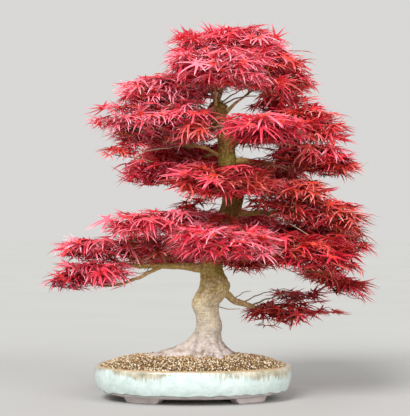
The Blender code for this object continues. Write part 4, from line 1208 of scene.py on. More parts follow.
class Space:
    """The convex room that one mass keeps to: a rounded block cut by planes to its neighbours."""

    POWER = 4.0

    def __init__(self, line: TrunkLine, mass: Mass) -> None:
        """Start with the whole block.

        Args:
            line: The trunk's line.
            mass: The mass's row.
        """
        self.centre = np.array(mass.centre, dtype=float)
        self.half = np.array(mass.half, dtype=float)
        self.axes = space_axes(line, mass)
        self.normals = np.zeros((0, 3))
        self.levels = np.zeros(0)

    def spread(self) -> np.ndarray:
        """The matrix whose square root gives the block's reach in any direction."""
        return self.axes.T @ np.diag(self.half ** 2) @ self.axes

    def divide(self, other: "Space") -> None:
        """Share the room between two blocks with one plane.

        Args:
            other: The neighbour's room.
        """
        apart = other.centre - self.centre
        normal = np.linalg.solve(self.spread() + other.spread(), apart)
        normal /= np.linalg.norm(normal)
        reach = np.sqrt(normal @ self.spread() @ normal)
        other_reach = np.sqrt(normal @ other.spread() @ normal)
        level = normal @ self.centre + (normal @ apart) * reach / (reach + other_reach)
        self.normals = np.vstack((self.normals, normal))
        self.levels = np.append(self.levels, level)

    def holds(self, points: np.ndarray, slack: np.ndarray | float, plane_slack: float) -> bool:
        """Whether all of some points lie in the room.

        Args:
            points: Rows of x, y and z.
            slack: How far they may pass the block, in millimetres, along each of its measures.
            plane_slack: How far they may pass the planes to the neighbours.

        Returns:
            Whether they do.
        """
        local = (points - self.centre) @ self.axes.T / (self.half + slack)
        if ((np.abs(local) ** self.POWER).sum(axis=1) > 1.0).any():
            return False
        return bool((points @ self.normals.T < self.levels + plane_slack).all())

    def point(self, outward: float, across: float, up: float) -> np.ndarray:
        """A point of the block from its own measures."""
        return self.centre + self.axes[0] * outward + self.axes[1] * across + self.axes[2] * up


class Crown:
    """All rooms of the crown together, each with rounder shoulders than its own block."""

    POWER = 2.6

    def __init__(self, spaces: Sequence[Space]) -> None:
        """Gather the rooms.

        Args:
            spaces: Every mass's and tuft's room.
        """
        self.centres = np.array([space.centre for space in spaces])
        self.axes = np.array([space.axes for space in spaces])
        self.halves = np.array([space.half for space in spaces])

    def holds(self, points: np.ndarray) -> bool:
        """Whether each of some points lies in one room or another.

        Args:
            points: Rows of x, y and z.

        Returns:
            Whether they all do.
        """
        local = np.einsum("sij,spj->spi", self.axes, points[None] - self.centres[:, None])
        shares = (np.abs(local / self.halves[:, None]) ** self.POWER).sum(axis=2)
        return bool((shares < 1.0).any(axis=0).all())


# Points of a lobe: the share of its length, of its half width to one side, and of its fold
LOBE = ((0.26, 0.0, 0.0), (0.44, -1.0, 1.0), (0.44, 1.0, 1.0), (0.48, 0.0, 0.0), (0.72, -0.58, 0.8),
        (0.72, 0.58, 0.8), (0.74, 0.0, 0.0), (1.0, 0.0, 0.0))

# How many steps paler each of a lobe's faces is, from the stalk out: a painted highlight on the lobe's tip
LOBE_HIGHLIGHT_STEPS = (0.0, 0.0, 0.0, 0.0, 0.0, 0.0, 0.0, 0.0, 1.0, 1.0, 2.0, 2.0)


@dataclass(frozen=True)
class LeafShape:
    """A palmate leaf of unit length: seven long narrow lobes, each folded along its rib.

    The outline is the leaf's own, with its middle at the stalk. Each lobe has a few faces. Those beyond
    its widest part are marked pale, a painted highlight on each lobe's tip, and half of the shapes have a
    heart of another tint round the stalk.
    """

    angles: tuple[float, ...] = (-126.0, -83.0, -41.0, 0.0, 41.0, 83.0, 126.0)
    lengths: tuple[float, ...] = (0.5, 0.8, 0.96, 1.0, 0.96, 0.8, 0.5)
    notch: float = 0.19
    outer_notch: float = 0.1
    outer_turn: float = 0.35
    half_width: float = 0.054
    slimming: float = 0.3
    fold: float = 0.026
    cup: tuple[float, float] = (-0.1, 0.26)
    spread: tuple[float, float] = (0.8, 1.08)
    turn: float = 7.0
    stretch: tuple[float, float] = (0.84, 1.1)
    bend: float = 0.18
    curl: tuple[float, float] = (-0.2, 0.12)
    variants: int = 16

    def build(self, dice: random.Random, number: int, holder: Collection) -> None:
        """Make one of the shapes that the leaves are dealt from.

        Args:
            dice: The source of the small differences.
            number: The shape's number.
            holder: The collection that keeps the shapes.
        """
        cup = dice.uniform(*self.cup)
        spread = dice.uniform(*self.spread)
        angles = [radians(angle * spread + dice.uniform(-self.turn, self.turn)) for angle in self.angles]
        lengths = [length * dice.uniform(*self.stretch) for length in self.lengths]
        bends = [dice.uniform(-self.bend, self.bend) for _ in self.angles]
        curls = [dice.uniform(*self.curl) for _ in self.angles]
        hearted = 1.0 if number % 2 else 0.0
        points = [(0.0, 0.0, 0.0)]
        faces = []
        heart = []
        between = [0.5 * (right + left) for right, left in zip(angles, angles[1:])]
        rims = [angles[0] - self.outer_turn, *between, angles[-1] + self.outer_turn]
        for angle in rims:
            near = self.outer_notch if angle in (rims[0], rims[-1]) else self.notch
            points.append((near * cos(angle), near * sin(angle), -cup * near ** 2 + self.fold))
        for index, (angle, length, bend, curl) in enumerate(zip(angles, lengths, bends, curls)):
            right = index + 1
            left = index + 2
            low, wide_right, wide_left, middle, thin_right, thin_left, high, tip = range(
                len(points), len(points) + len(LOBE))
            slim = 1.0 - self.slimming + self.slimming * length
            for share, width, lift in LOBE:
                along = share * length
                aside = width * self.half_width * slim + bend * share ** 2 * length
                points.append((along * cos(angle) - aside * sin(angle),
                               along * sin(angle) + aside * cos(angle),
                               self.fold * lift - cup * along ** 2 + curl * share ** 3 * length))
            faces += [(0, right, low), (0, low, left), (right, wide_right, low), (low, wide_left, left),
                      (wide_right, middle, low), (low, middle, wide_left), (wide_right, thin_right, middle),
                      (middle, thin_left, wide_left), (thin_right, high, middle), (middle, high, thin_left),
                      (thin_right, tip, high), (high, tip, thin_left)]
            heart += [hearted, hearted] + [0.0] * (len(LOBE_HIGHLIGHT_STEPS) - 2)
        mesh = bpy.data.meshes.new(f"leaf_shape_{number:02d}")
        mesh.from_pydata(points, [], faces)
        # Marks the faces of the lobe tips for their painted highlight
        set_attribute(mesh, "pale", "FLOAT", LOBE_HIGHLIGHT_STEPS * len(self.angles), "FACE")
        set_attribute(mesh, "heart", "FLOAT", heart, "FACE")
        holder.objects.link(bpy.data.objects.new(mesh.name, mesh))


class LeafPlace(NamedTuple):
    """A placed leaf: its middle, its axes as rows, its size, its shape's number and its tint's."""

    base: np.ndarray
    axes: np.ndarray
    size: float
    shape: int
    tint: int


def leaf_axes(heading: float, droop: float, roll: float) -> np.ndarray:
    """A leaf's axes.

    Args:
        heading: Where its middle lobe points in plan, in radians.
        droop: How far the lobe hangs below the level.
        roll: How far the leaf leans to one side.

    Returns:
        Rows that run forwards, across and out of its face.
    """
    forward = np.array((cos(heading) * cos(droop), sin(heading) * cos(droop), -sin(droop)))
    across = np.array((-sin(heading), cos(heading), 0.0))
    face = np.cross(forward, across)
    rolled = across * cos(roll) + face * sin(roll)
    return np.array((forward, rolled, np.cross(forward, rolled)))


class Wood(NamedTuple):
    """The limbs that leaves keep clear of, in short straight lengths."""

    starts: np.ndarray
    ends: np.ndarray
    radii: np.ndarray

    @classmethod
    def of_limbs(cls, limbs: Sequence[Limb]) -> "Wood":
        """Cut limbs into lengths from point to point."""
        return cls(np.array([tuple(point) for limb in limbs for point in limb.path[:-1]]),
                   np.array([tuple(point) for limb in limbs for point in limb.path[1:]]),
                   np.array([radius for limb in limbs for radius in limb.radii[:-1]]))

    def clear(self, points: np.ndarray, gap: float) -> bool:
        """Whether some points keep a gap to all of it.

        Args:
            points: Rows of x, y and z.
            gap: The gap in millimetres.

        Returns:
            Whether they do.
        """
        along = self.ends - self.starts
        apart = points[:, None] - self.starts[None]
        share = np.clip((apart * along[None]).sum(-1) / (along * along).sum(-1)[None], 0.0, 1.0)
        gaps = np.linalg.norm(apart - share[..., None] * along[None], axis=-1)
        return bool((gaps > self.radii[None] + gap).all())


@dataclass(frozen=True)
class SprayHabit:
    """How the ends of the sprays are laid out in a room: in level plates with a ragged rim."""

    plate_gap: float = 16.0
    spacing: float = 20.5
    cover: float = 0.52
    fewest: int = 3
    throws: int = 12
    least_gap: float = 0.55
    level_scatter: float = 4.0
    rim_drop: float = 7.0
    sway: float = 6.0
    sway_length: float = 34.0
    hanging_room: float = 9.0
    edge_room: float = 31.0
    edge_raggedness: float = 1.3
    edge_waves: float = 2.6
    room_shift: float = 0.37
    plate_shift: float = 0.04
    top_room: float = 5.0
    top_raggedness: float = 14.0
    top_length: float = 24.0
    plane_slack: float = 4.0


@dataclass(frozen=True)
class TwigHabit:
    """How a twig springs from earlier wood: close by, and with no sharp turn."""

    least_length: float = 0.1
    length_cost: float = 1.75
    ahead_saving: float = 0.75
    short_length: float = 7.0
    short_cost: float = 60.0
    lift: float = 0.25
    steps: int = 6
    root_share: float = 0.8
    root_radius: float = 0.55
    radius_per_length: float = 0.012
    least_radius: float = 0.5
    tip_radius: float = 0.42


@dataclass(frozen=True)
class TintHabit:
    """How bright a spray is: by its mass, its drift, and painted light that makes sprays higher up and nearer
    the rim brighter and the inner, lower ones darker.
    """

    level: float = 0.44
    drift: float = 0.24
    drift_length: float = 48.0
    # Painted light: sprays higher in the room get brighter tints, lower ones darker
    painted_top_light: float = 0.2
    # Painted light: sprays nearer the rim get brighter tints, and painted shade darkens the inner ones
    outward: float = 0.2
    scatter: float = 0.36
    accent_length: float = 40.0
    accent_shift: tuple[float, float, float] = (9.0, 4.0, 2.0)
    accent_scatter: float = 0.3
    accent_level: float = 0.16


@dataclass(frozen=True)
class LeafHabit:
    """How leaves hang round a twig's end on stalks of their own. Angles are in degrees."""

    counts: tuple[int, ...] = (4, 4, 5, 5)
    turns: tuple[float, ...] = (0.0, 62.0, -62.0, 118.0, -118.0)
    turn_scatter: float = 22.0
    outward_pull: float = 0.02
    front: int = 3
    rear_step: float = 7.0
    rear_size: float = 0.84
    sizes: tuple[float, float, float] = (0.58, 1.3, 0.8)
    rim_growth: float = 0.18
    tries: int = 7
    droop: float = 1.0
    rim_droop: float = 11.0
    droop_scatter: tuple[float, float, float] = (-34.0, 40.0, 0.0)
    roll: float = 38.0
    twist: float = 18.0
    stalk_rise: tuple[float, float] = (-0.35, 0.45)
    rise_per_droop: float = 0.008
    stalk_reach: tuple[float, float] = (8.0, 20.0)
    stalk_flatness: float = 0.5
    stalk_middle: float = 0.55
    stalk_arch: float = 1.2
    stalk_radii: tuple[float, float, float] = (0.42, 0.34, 0.34)
    side_slack: tuple[float, float, float] = (-8.0, 21.0, 0.0)
    top_share: float = 0.35
    top_inset: float = 3.0
    spring_slack: float = 0.3
    plane_slack: float = 26.0
    wood_gap: float = 1.5


@dataclass
class Growth:
    """The twigs, stalks and leaves of one mass, grown from its stem within its room."""

    mass: Mass
    space: Space
    crown: Crown
    stem: Limb
    wood: Wood
    dice: random.Random
    leaf_length: float
    shapes: int
    spray: SprayHabit = field(default_factory=SprayHabit)
    twig: TwigHabit = field(default_factory=TwigHabit)
    tint: TintHabit = field(default_factory=TintHabit)
    leaf: LeafHabit = field(default_factory=LeafHabit)
    twigs: list[Limb] = field(default_factory=list)
    stalks: list[Limb] = field(default_factory=list)
    leaves: list[LeafPlace] = field(default_factory=list)

    def grow(self) -> None:
        """Grow twigs to every spray's end, nearest first, and dress each with leaves."""
        ends = self.spray_ends()
        stem_points = np.array(self.stem.path)
        ends.sort(key=lambda end: float(np.linalg.norm(stem_points - end, axis=1).min()))
        joints = self.joints_of(self.stem)
        stem_end = np.array(self.stem.direction(len(self.stem.path) - 1))
        self.dress(np.array(self.stem.path[-1]), stem_end, max(self.leaf.counts))
        for end in ends:
            twig = self.twig_to(Vector(end), joints)
            self.twigs.append(twig)
            joints += self.joints_of(twig)
            self.dress(end, np.array(twig.direction(len(twig.path) - 1)), self.dice.choice(self.leaf.counts))

    def joints_of(self, limb: Limb) -> list[tuple[Vector, Vector, float]]:
        """Points where twigs may spring from a limb, with its direction and radius there."""
        return [(point, limb.direction(index), limb.radii[index])
                for index, point in enumerate(limb.path) if index > 1]

    def spray_ends(self) -> list[np.ndarray]:
        """Lay the ends of the sprays out in level plates, one over another, with a ragged rim.

        Returns:
            The ends.
        """
        half = self.space.half
        low = -half[2] + self.spray.hanging_room
        high = half[2] - self.spray.top_room
        plates = max(round((high - low) / self.spray.plate_gap), 1)
        plan = 2.0 * half[0] * 2.0 * half[1]
        count = round(plan * self.spray.cover * self.mass.fill / self.spray.spacing ** 2)
        ends: list[np.ndarray] = []
        for plate in range(plates + 1):
            level = low + (high - low) * plate / plates
            laid: list[np.ndarray] = []
            for _ in range(max(count, self.spray.fewest)):
                best = None
                best_gap = 0.0
                for _ in range(self.spray.throws):
                    place = self.spray_place(level)
                    if place is None:
                        continue
                    gap = float(np.linalg.norm(np.array(laid) - place, axis=1).min()) if laid else inf
                    if gap > best_gap:
                        best = place
                        best_gap = gap
                if best is not None and best_gap > self.spray.least_gap * self.spray.spacing:
                    laid.append(best)
            ends += laid
        return ends

    def spray_place(self, level: float) -> np.ndarray | None:
        """Pick a place for a spray's end near a level, with room for leaves beyond and above it.

        Args:
            level: The plate's height over the middle of the room.

        Returns:
            The place, or nothing where it has no room.
        """
        habit = self.spray
        outward = self.dice.uniform(-1.0, 1.0)
        across = self.dice.uniform(-1.0, 1.0)
        rim = hypot(outward, across)
        up = level + self.dice.uniform(-habit.level_scatter, habit.level_scatter) - habit.rim_drop * rim ** 2
        place = self.space.point(outward * self.space.half[0], across * self.space.half[1], up)
        up += habit.sway * noise.noise(Vector(place) / habit.sway_length)
        place = self.space.point(outward * self.space.half[0], across * self.space.half[1], up)
        flat = (place - self.space.centre) * (1.0, 1.0, 0.0)
        away = flat / max(float(np.linalg.norm(flat)), 1.0)
        layer = habit.room_shift * self.space.centre[2] + habit.plate_shift * level
        ragged = noise.noise(Vector((*away[:2] * habit.edge_waves, layer)))
        beyond = habit.edge_room * (1.0 + habit.edge_raggedness * ragged)
        bumps = max(noise.noise(Vector(place) / habit.top_length), 0.0)
        over = habit.top_room + habit.top_raggedness * bumps
        tests = np.array((place + away * beyond, place + (0.0, 0.0, over)))
        if not self.space.holds(place[None], 0.0, habit.plane_slack) or not self.crown.holds(tests):
            return None
        return place

    def twig_to(self, end: Vector, joints: list[tuple[Vector, Vector, float]]) -> Limb:
        """A twig that springs from earlier wood, raked along it, and runs to a spray's end.

        Args:
            end: The spray's end.
            joints: Points of earlier wood, with its direction and radius there.

        Returns:
            The twig's path and radii.
        """
        habit = self.twig

        def cost(joint: tuple[Vector, Vector, float]) -> float:
            """The length of a twig from a joint, made dearer by a sharp turn and if it is short."""
            along = end - joint[0]
            length = max(along.length, habit.least_length)
            dearness = habit.length_cost - habit.ahead_saving * along.dot(joint[1]) / length
            return length * dearness + habit.short_cost * (length < habit.short_length)

        start, direction, radius = min(joints, key=cost)
        along = (end - start).normalized()
        leave = (direction + along).normalized()
        arrive = (along + Vector((0, 0, habit.lift))).normalized()
        path = curve_path(start, leave, end, arrive, habit.steps)
        first = min(radius * habit.root_share,
                    habit.root_radius + habit.radius_per_length * (end - start).length)
        return Limb(path, taper(max(first, habit.least_radius), habit.tip_radius, len(path)))

    def dress(self, end: np.ndarray, along: np.ndarray, count: int) -> None:
        """Hang leaves round the end of a twig: one ahead, then pairs to the sides.

        Args:
            end: The twig's end.
            along: The twig's direction there.
            count: How many leaves it bears.
        """
        habit = self.leaf
        local = (end - self.space.centre) @ self.space.axes.T / self.space.half
        rim = hypot(local[0], local[1])
        out = end - self.space.centre
        heading = atan2(along[1] + habit.outward_pull * out[1], along[0] + habit.outward_pull * out[0])
        tint = self.spray_tint(end, local[2], rim)
        droop = habit.droop - self.mass.spring * local[2] + habit.rim_droop * rim
        for order in range(count):
            front = order < habit.front
            back = 0.0 if front else habit.rear_step
            for _ in range(habit.tries):
                scatter = self.dice.uniform(-habit.turn_scatter, habit.turn_scatter)
                turn = heading + radians(habit.turns[order] + scatter)
                size = self.dice.triangular(*habit.sizes) * (1.0 if front else habit.rear_size)
                size *= 1.0 + habit.rim_growth * rim
                if self.hang_leaf(end - along * back, turn, droop, size, tint):
                    break

    def spray_tint(self, end: np.ndarray, level: float, rim: float) -> int:
        """Deal a spray its tint.

        Args:
            end: The spray's end.
            level: Its height over the room's middle, as a share of the half height.
            rim: How near it is to the room's rim, from 0 to 1.

        Returns:
            The number of the tint, of the mass's palette or, beyond that, of its accent.
        """
        habit = self.tint
        drift = habit.drift * noise.noise(Vector(end) / habit.drift_length)
        # Painted light: the height and rim terms brighten sprays on top and at the rim and darken those
        # inside and below; the mass's lift is partly painted light too
        bright = habit.level + self.mass.tint_lift_and_painted_light + drift + habit.painted_top_light * level + habit.outward * rim
        bright += self.dice.uniform(-habit.scatter, habit.scatter)
        tint = min(max(int(bright * SPRAY_TINTS), 0), SPRAY_TINTS - 1)
        patch = noise.noise(Vector(end) / habit.accent_length + Vector(habit.accent_shift))
        patch += self.dice.uniform(-habit.accent_scatter, habit.accent_scatter)
        return tint + len(self.mass.palette.value) * (patch > habit.accent_level)

    def hang_leaf(self, root: np.ndarray, heading: float, lean: float, size: float, tint: int) -> bool:
        """Hang one leaf on its stalk if it stays in the room and clear of the limbs.

        Args:
            root: Where the stalk springs.
            heading: Its heading in plan.
            lean: How far leaves hang below the level there, in degrees.
            size: The leaf's size as a share of the usual one.
            tint: The spray's tint.

        Returns:
            Whether it was hung.
        """
        habit = self.leaf
        rise = self.dice.uniform(*habit.stalk_rise) - habit.rise_per_droop * lean
        stalk = np.array((cos(heading), sin(heading), rise)) * self.dice.uniform(*habit.stalk_reach)
        base = root + stalk
        droop = radians(lean + self.dice.triangular(*habit.droop_scatter))
        roll = radians(self.dice.uniform(-habit.roll, habit.roll))
        axes = leaf_axes(heading + radians(self.dice.uniform(-habit.twist, habit.twist)), droop, roll)
        rim = base + (LEAF_TEST * (self.leaf_length * size)) @ axes
        side_slack = self.dice.triangular(*habit.side_slack)
        top_slack = habit.top_share * side_slack - habit.top_inset
        top_slack += habit.spring_slack * (self.mass.spring - USUAL_SPRING)
        slack = np.array((side_slack, side_slack, top_slack))
        if not self.space.holds(rim, slack, habit.plane_slack) or not self.wood.clear(rim, habit.wood_gap):
            return False
        level = Vector((stalk[0], stalk[1], 0.0))
        middle = Vector(stalk).lerp(level, habit.stalk_flatness) * habit.stalk_middle
        middle += Vector((0, 0, habit.stalk_arch))
        self.stalks.append(Limb([Vector(root), Vector(root) + middle, Vector(base)],
                                list(habit.stalk_radii)))
        self.leaves.append(LeafPlace(base, axes, size, self.dice.randrange(self.shapes), tint))
        return True


# Shares of its lobes' lengths at which a leaf is tested for room, and how far it is cupped for that
TESTED_SHARES = (0.55, 1.0)
TESTED_CUP = 0.25

# The points of a leaf of unit length that are tested: its middle, and places along its lobes
LEAF_TEST = np.array([(0.0, 0.0, 0.0)] + [
    (reach * cos(radians(angle)), reach * sin(radians(angle)), -TESTED_CUP * reach ** 2)
    for angle, length in zip(LeafShape.angles[1:-1], LeafShape.lengths[1:-1])
    for reach in (share * length for share in TESTED_SHARES)])


@dataclass
class Foliage:
    """All masses of foliage, grown on their stems."""

    skeleton: Skeleton
    place: PlantFrame
    leaf_length: float = 37.0
    seed: int = 20
    twig_sides: int = 5
    shoot_sides: int = 7
    stalk_sides: int = 3
    knob_height: float = 0.5
    knob_size: float = 5.0

    def build(self, limb_tree: LimbTree) -> None:
        """Grow every mass, and make its leaves, and the twigs and stalks of all.

        Args:
            limb_tree: The tree of nodes that turns paths into wood.
        """
        shape = LeafShape()
        dice = random.Random(self.seed)
        shapes = bpy.data.collections.new("leaf_shapes")
        for number in range(shape.variants):
            shape.build(dice, number, shapes)
        tints = {palette: [LeafFinish(palette, rank).make() for rank in range(len(palette.value))]
                 for palette in Palette}
        leaf_tree = LeafTree(2 * len(ROSE.value))
        spaces = {mass.name: Space(self.skeleton.line, mass) for mass in MASSES}
        for name, space in spaces.items():
            for other_name, other in spaces.items():
                if other_name != name:
                    space.divide(other)
        spaces |= {tuft.name: Space(self.skeleton.line, tuft) for tuft in TUFTS}
        crown = Crown(list(spaces.values()))
        wood = Wood.of_limbs(list(self.skeleton.limbs.values()))
        twigs: list[Limb] = []
        stalks: list[Limb] = []
        for index, mass in enumerate(MASSES + TUFTS):
            growth = Growth(mass, spaces[mass.name], crown, self.skeleton.stems[mass.name], wood,
                            random.Random(self.seed + index), self.leaf_length, shape.variants)
            growth.grow()
            twigs += growth.twigs
            stalks += growth.stalks
            self.make_leaves(mass, growth.leaves, leaf_tree, shapes,
                             tints[mass.palette] + tints[ACCENTS[mass.palette]])
        stems = list(self.skeleton.stems.values())
        young = LimbFinish("young_maple_bark", "a88c58", "6b5430", "8c8238").make()
        red = LimbFinish("leaf_stalk_skin", "a8453c", "7c2a28", "9c5438").make()
        grey = LimbFinish("weathered_twig_bark", "bcae98", "8a7a62", "a3946e").make()
        shoots = [self.skeleton.shoot_limb(shoot) for shoot in SHOOTS]
        for name, paths, sides, finish in (("stems_and_twigs", stems + twigs, self.twig_sides, young),
                                           ("bare_shoots", shoots, self.shoot_sides, grey),
                                           ("leaf_stalks", stalks, self.stalk_sides, red)):
            piece = wire_piece(name, paths, self.place)
            limb_tree.shape(piece, {"Sides": sides, "Knob Height": self.knob_height * MM,
                                    "Knob Size": self.knob_size * MM, "Bark": finish})
            publish(piece)
        drop_shapes(shapes)

    def make_leaves(self, mass: Mass, leaves: list[LeafPlace], tree: LeafTree,
                    shapes: Collection, tints: list[Material]) -> None:
        """Make the leaves of one mass as one piece.

        Args:
            mass: The mass's row.
            leaves: Its placed leaves.
            tree: The tree of nodes that sets leaves on points.
            shapes: The shapes that they are dealt from.
            tints: The materials of its palette and of that palette's accent.
        """
        solids = [f"leaves_{mass.name}"] if mass in MASSES else []
        name = f"foliage_{mass.name}" if solids else mass.name
        piece = self.place.make_piece(name, [leaf.base for leaf in leaves], [])
        turns = [tuple(Matrix(leaf.axes.tolist()).transposed().to_euler()) for leaf in leaves]
        set_attribute(piece.data, "turn", "FLOAT_VECTOR", turns)
        set_attribute(piece.data, "size", "FLOAT", [leaf.size for leaf in leaves])
        set_attribute(piece.data, "shape", "INT", [leaf.shape for leaf in leaves])
        set_attribute(piece.data, "tint", "FLOAT", [float(leaf.tint) for leaf in leaves])
        ranks = len(mass.palette.value)
        set_attribute(piece.data, "heart_tint", "FLOAT",
                      [float(leaf.tint - leaf.tint % ranks + ranks - 1) for leaf in leaves])
        values = {"Leaf Shapes": shapes, "Leaf Length": self.leaf_length * MM}
        values |= {f"Tint {rank + 1}": tint for rank, tint in enumerate(tints)}
        tree.shape(piece, values)
        publish(piece, solids)


def wire_piece(name: str, limbs: Sequence[Limb], place: PlantFrame) -> Object:
    """Make a mesh of wires along limbs, with a radius at each point.

    Args:
        name: The object's name.
        limbs: The limbs in millimetres.
        place: Where the tables' origin stands.

    Returns:
        The mesh object, for the tree that turns paths into limbs.
    """
    points = [point for limb in limbs for point in limb.path]
    radii = [radius * MM for limb in limbs for radius in limb.radii]
    edges = []
    first = 0
    for limb in limbs:
        edges += [(first + step, first + step + 1) for step in range(len(limb.path) - 1)]
        first += len(limb.path)
    piece = place.make_piece(name, points, [], edges)
    set_attribute(piece.data, "radius", "FLOAT", radii)
    return piece


@dataclass
class Trunk:
    """The trunk and its surface roots, with the bark's relief in the mesh."""

    skeleton: Skeleton
    place: PlantFrame
    sides: int = 168
    ring_spacing: float = 1.1
    collar_swell: float = 2.6
    collar_reach: float = 24.0
    flute_depth: float = 1.5
    flute_size: tuple[float, float] = (17.0, 40.0)
    wrinkle_depth: float = 0.5
    wrinkle_size: tuple[float, float] = (12.0, 3.2)
    knuckle_depth: float = 4.2
    knuckle_size: tuple[float, float] = (11.0, 9.0)
    knuckle_levels: tuple[float, float] = (104.0, 78.0)
    rough_depth: float = 1.5
    rough_size: tuple[float, float] = (4.6, 5.6)
    rough_levels: tuple[float, float] = (146.0, 162.0)
    scale_depth: float = 1.2
    scale_levels: tuple[float, float] = (196.0, 216.0)
    groove_height: float = 153.0
    groove_wave: float = 3.0
    groove_turn: float = 0.8
    groove_width: float = 1.8
    groove_depth: float = 0.9
    gnarl_depth: float = 3.0
    gnarl_size: tuple[float, float] = (5.5, 6.5)
    gnarl_levels: tuple[float, float] = (440.0, 460.0)
    # How deep the relief sinks before the bark is darkest, and how dark it gets: painted shade in the hollows
    hollow_shade_depth: float = 3.4
    darkest_hollow_shade: float = 0.75

    def relief(self, height: float, heading: float, radius: float) -> float:
        """How far the bark stands out or in from the trunk's plain outline.

        Args:
            height: The height in millimetres.
            heading: The heading in radians.
            radius: The trunk's radius there.

        Returns:
            The relief in millimetres.
        """
        x = radius * cos(heading)
        y = radius * sin(heading)

        def at(size: tuple[float, float]) -> Vector:
            """The place, counted in a pattern's sizes across and up."""
            return Vector((x / size[0], y / size[0], height / size[1]))

        wrinkles = noise.noise(at(self.wrinkle_size))
        knuckles = noise.fractal(at(self.knuckle_size), 0.8, 2.0, 2)
        rough = noise.fractal(at(self.rough_size), 1.0, 2.0, 3)
        upper_share = ramp(height, *self.scale_levels)
        rough_share = ramp(height, *self.rough_levels)
        depth = self.rough_depth * rough_share * (1.0 - upper_share) + self.scale_depth * upper_share
        groove_level = self.groove_height + self.groove_wave * sin(heading * 2.0 + self.groove_turn)
        groove = exp(-((height - groove_level) / self.groove_width) ** 2)
        return (self.flute_depth * noise.noise(at(self.flute_size))
                + self.wrinkle_depth * wrinkles * (1.0 - upper_share)
                + self.knuckle_depth * knuckles * ramp(height, *self.knuckle_levels)
                + depth * rough - self.groove_depth * groove
                + self.gnarl_depth * noise.noise(at(self.gnarl_size)) * ramp(height, *self.gnarl_levels))

    def build(self) -> None:
        """Make the trunk."""
        line = self.skeleton.line
        count = ceil((TRUNK[-1].height - TRUNK[0].height) / self.ring_spacing)
        heights = np.linspace(TRUNK[0].height, TRUNK[-1].height, count)
        collars = []
        for bough in BOUGHS:
            if bough.parent == "trunk":
                x, y, _ = line.at(bough.place)
                collars.append((bough.place, np.degrees(atan2(bough.tip[1] - y, bough.tip[0] - x)),
                                bough.root_thickness))
        points = []
        hollow_shades = []
        for height in heights:
            x, y, plain = line.at(height)
            near = [collar for collar in collars if abs(collar[0] - height) < self.collar_reach]
            for side in range(self.sides):
                heading = 360.0 * side / self.sides
                radius = plain + line.swelling(height, heading, plain)
                for level, bearing, thickness in near:
                    across = radians(turn_between(heading, bearing)) * plain
                    radius += self.collar_swell * exp(-((hypot(across, height - level) / thickness) ** 2))
                turn = radians(heading)
                relief = self.relief(height, turn, radius)
                radius += relief
                points.append((x + radius * cos(turn), y + radius * sin(turn), height))
                # The deeper the relief sinks, the darker the bark there: painted shade
                hollow_shades.append(min(max(-relief / self.hollow_shade_depth, 0.0), self.darkest_hollow_shade))
        piece = self.place.make_piece("trunk_bark", points, closed_faces(count, self.sides))
        set_attribute(piece.data, "hollow", "FLOAT", hollow_shades)
        piece.data.shade_smooth()
        finish = BarkFinish(TRUNK[0].height * MM, TRUNK[-1].height * MM)
        piece.data.materials.append(finish.make())
        publish(piece, ["trunk"])


@dataclass
class Boughs:
    """The boughs, each a knobbly limb that swells where it leaves the trunk."""

    skeleton: Skeleton
    place: PlantFrame
    sides: int = 20
    wander: float = 4.8
    wander_length: float = 30.0
    rise_length: float = 26.0
    rise_shift: tuple[float, float, float] = (7.0, 3.0, 1.0)
    collar: float = 0.45
    collar_length: float = 0.2
    knob_height: float = 3.4
    knob_size: float = 9.0

    def build(self, tree: LimbTree) -> None:
        """Make every bough.

        Args:
            tree: The tree of nodes that turns paths into wood.
        """
        mossy = LimbFinish("mossy_maple_bark", "e4c084", "9e7a46", "b2a048").make()
        scaly = LimbFinish("scaly_maple_bark", "e0c494", "a08154", "b8a062").make()
        for bough in BOUGHS:
            finish = scaly if bough.name in BARE_BOUGHS else mossy
            piece = wire_piece(f"limb_{bough.name}", [self.dressed(bough)], self.place)
            tree.shape(piece, {"Sides": self.sides, "Knob Height": self.knob_height * MM,
                               "Knob Size": self.knob_size * MM, "Bark": finish})
            publish(piece, [f"bough_{bough.name}"])

    def dressed(self, bough: Bough) -> Limb:
        """A bough's path with a natural wander, and radii with a collar at its root.

        Args:
            bough: The bough's row.

        Returns:
            The path and radii.
        """
        limb = self.skeleton.limbs[bough.name]
        across = Vector((0, 0, 1)).cross(limb.path[-1] - limb.path[0]).normalized()
        path = []
        radii = []
        for index, (point, radius) in enumerate(zip(limb.path, limb.radii)):
            share = index / (len(limb.path) - 1)
            hold = sin(pi * share)
            aside = noise.noise(point / self.wander_length) * self.wander * hold
            rise = noise.noise(point / self.rise_length + Vector(self.rise_shift)) * self.wander * hold
            path.append(point + across * aside + Vector((0, 0, rise)))
            radii.append(radius * (1.0 + self.collar * exp(-(share / self.collar_length) ** 2)))
        return Limb(path, radii)


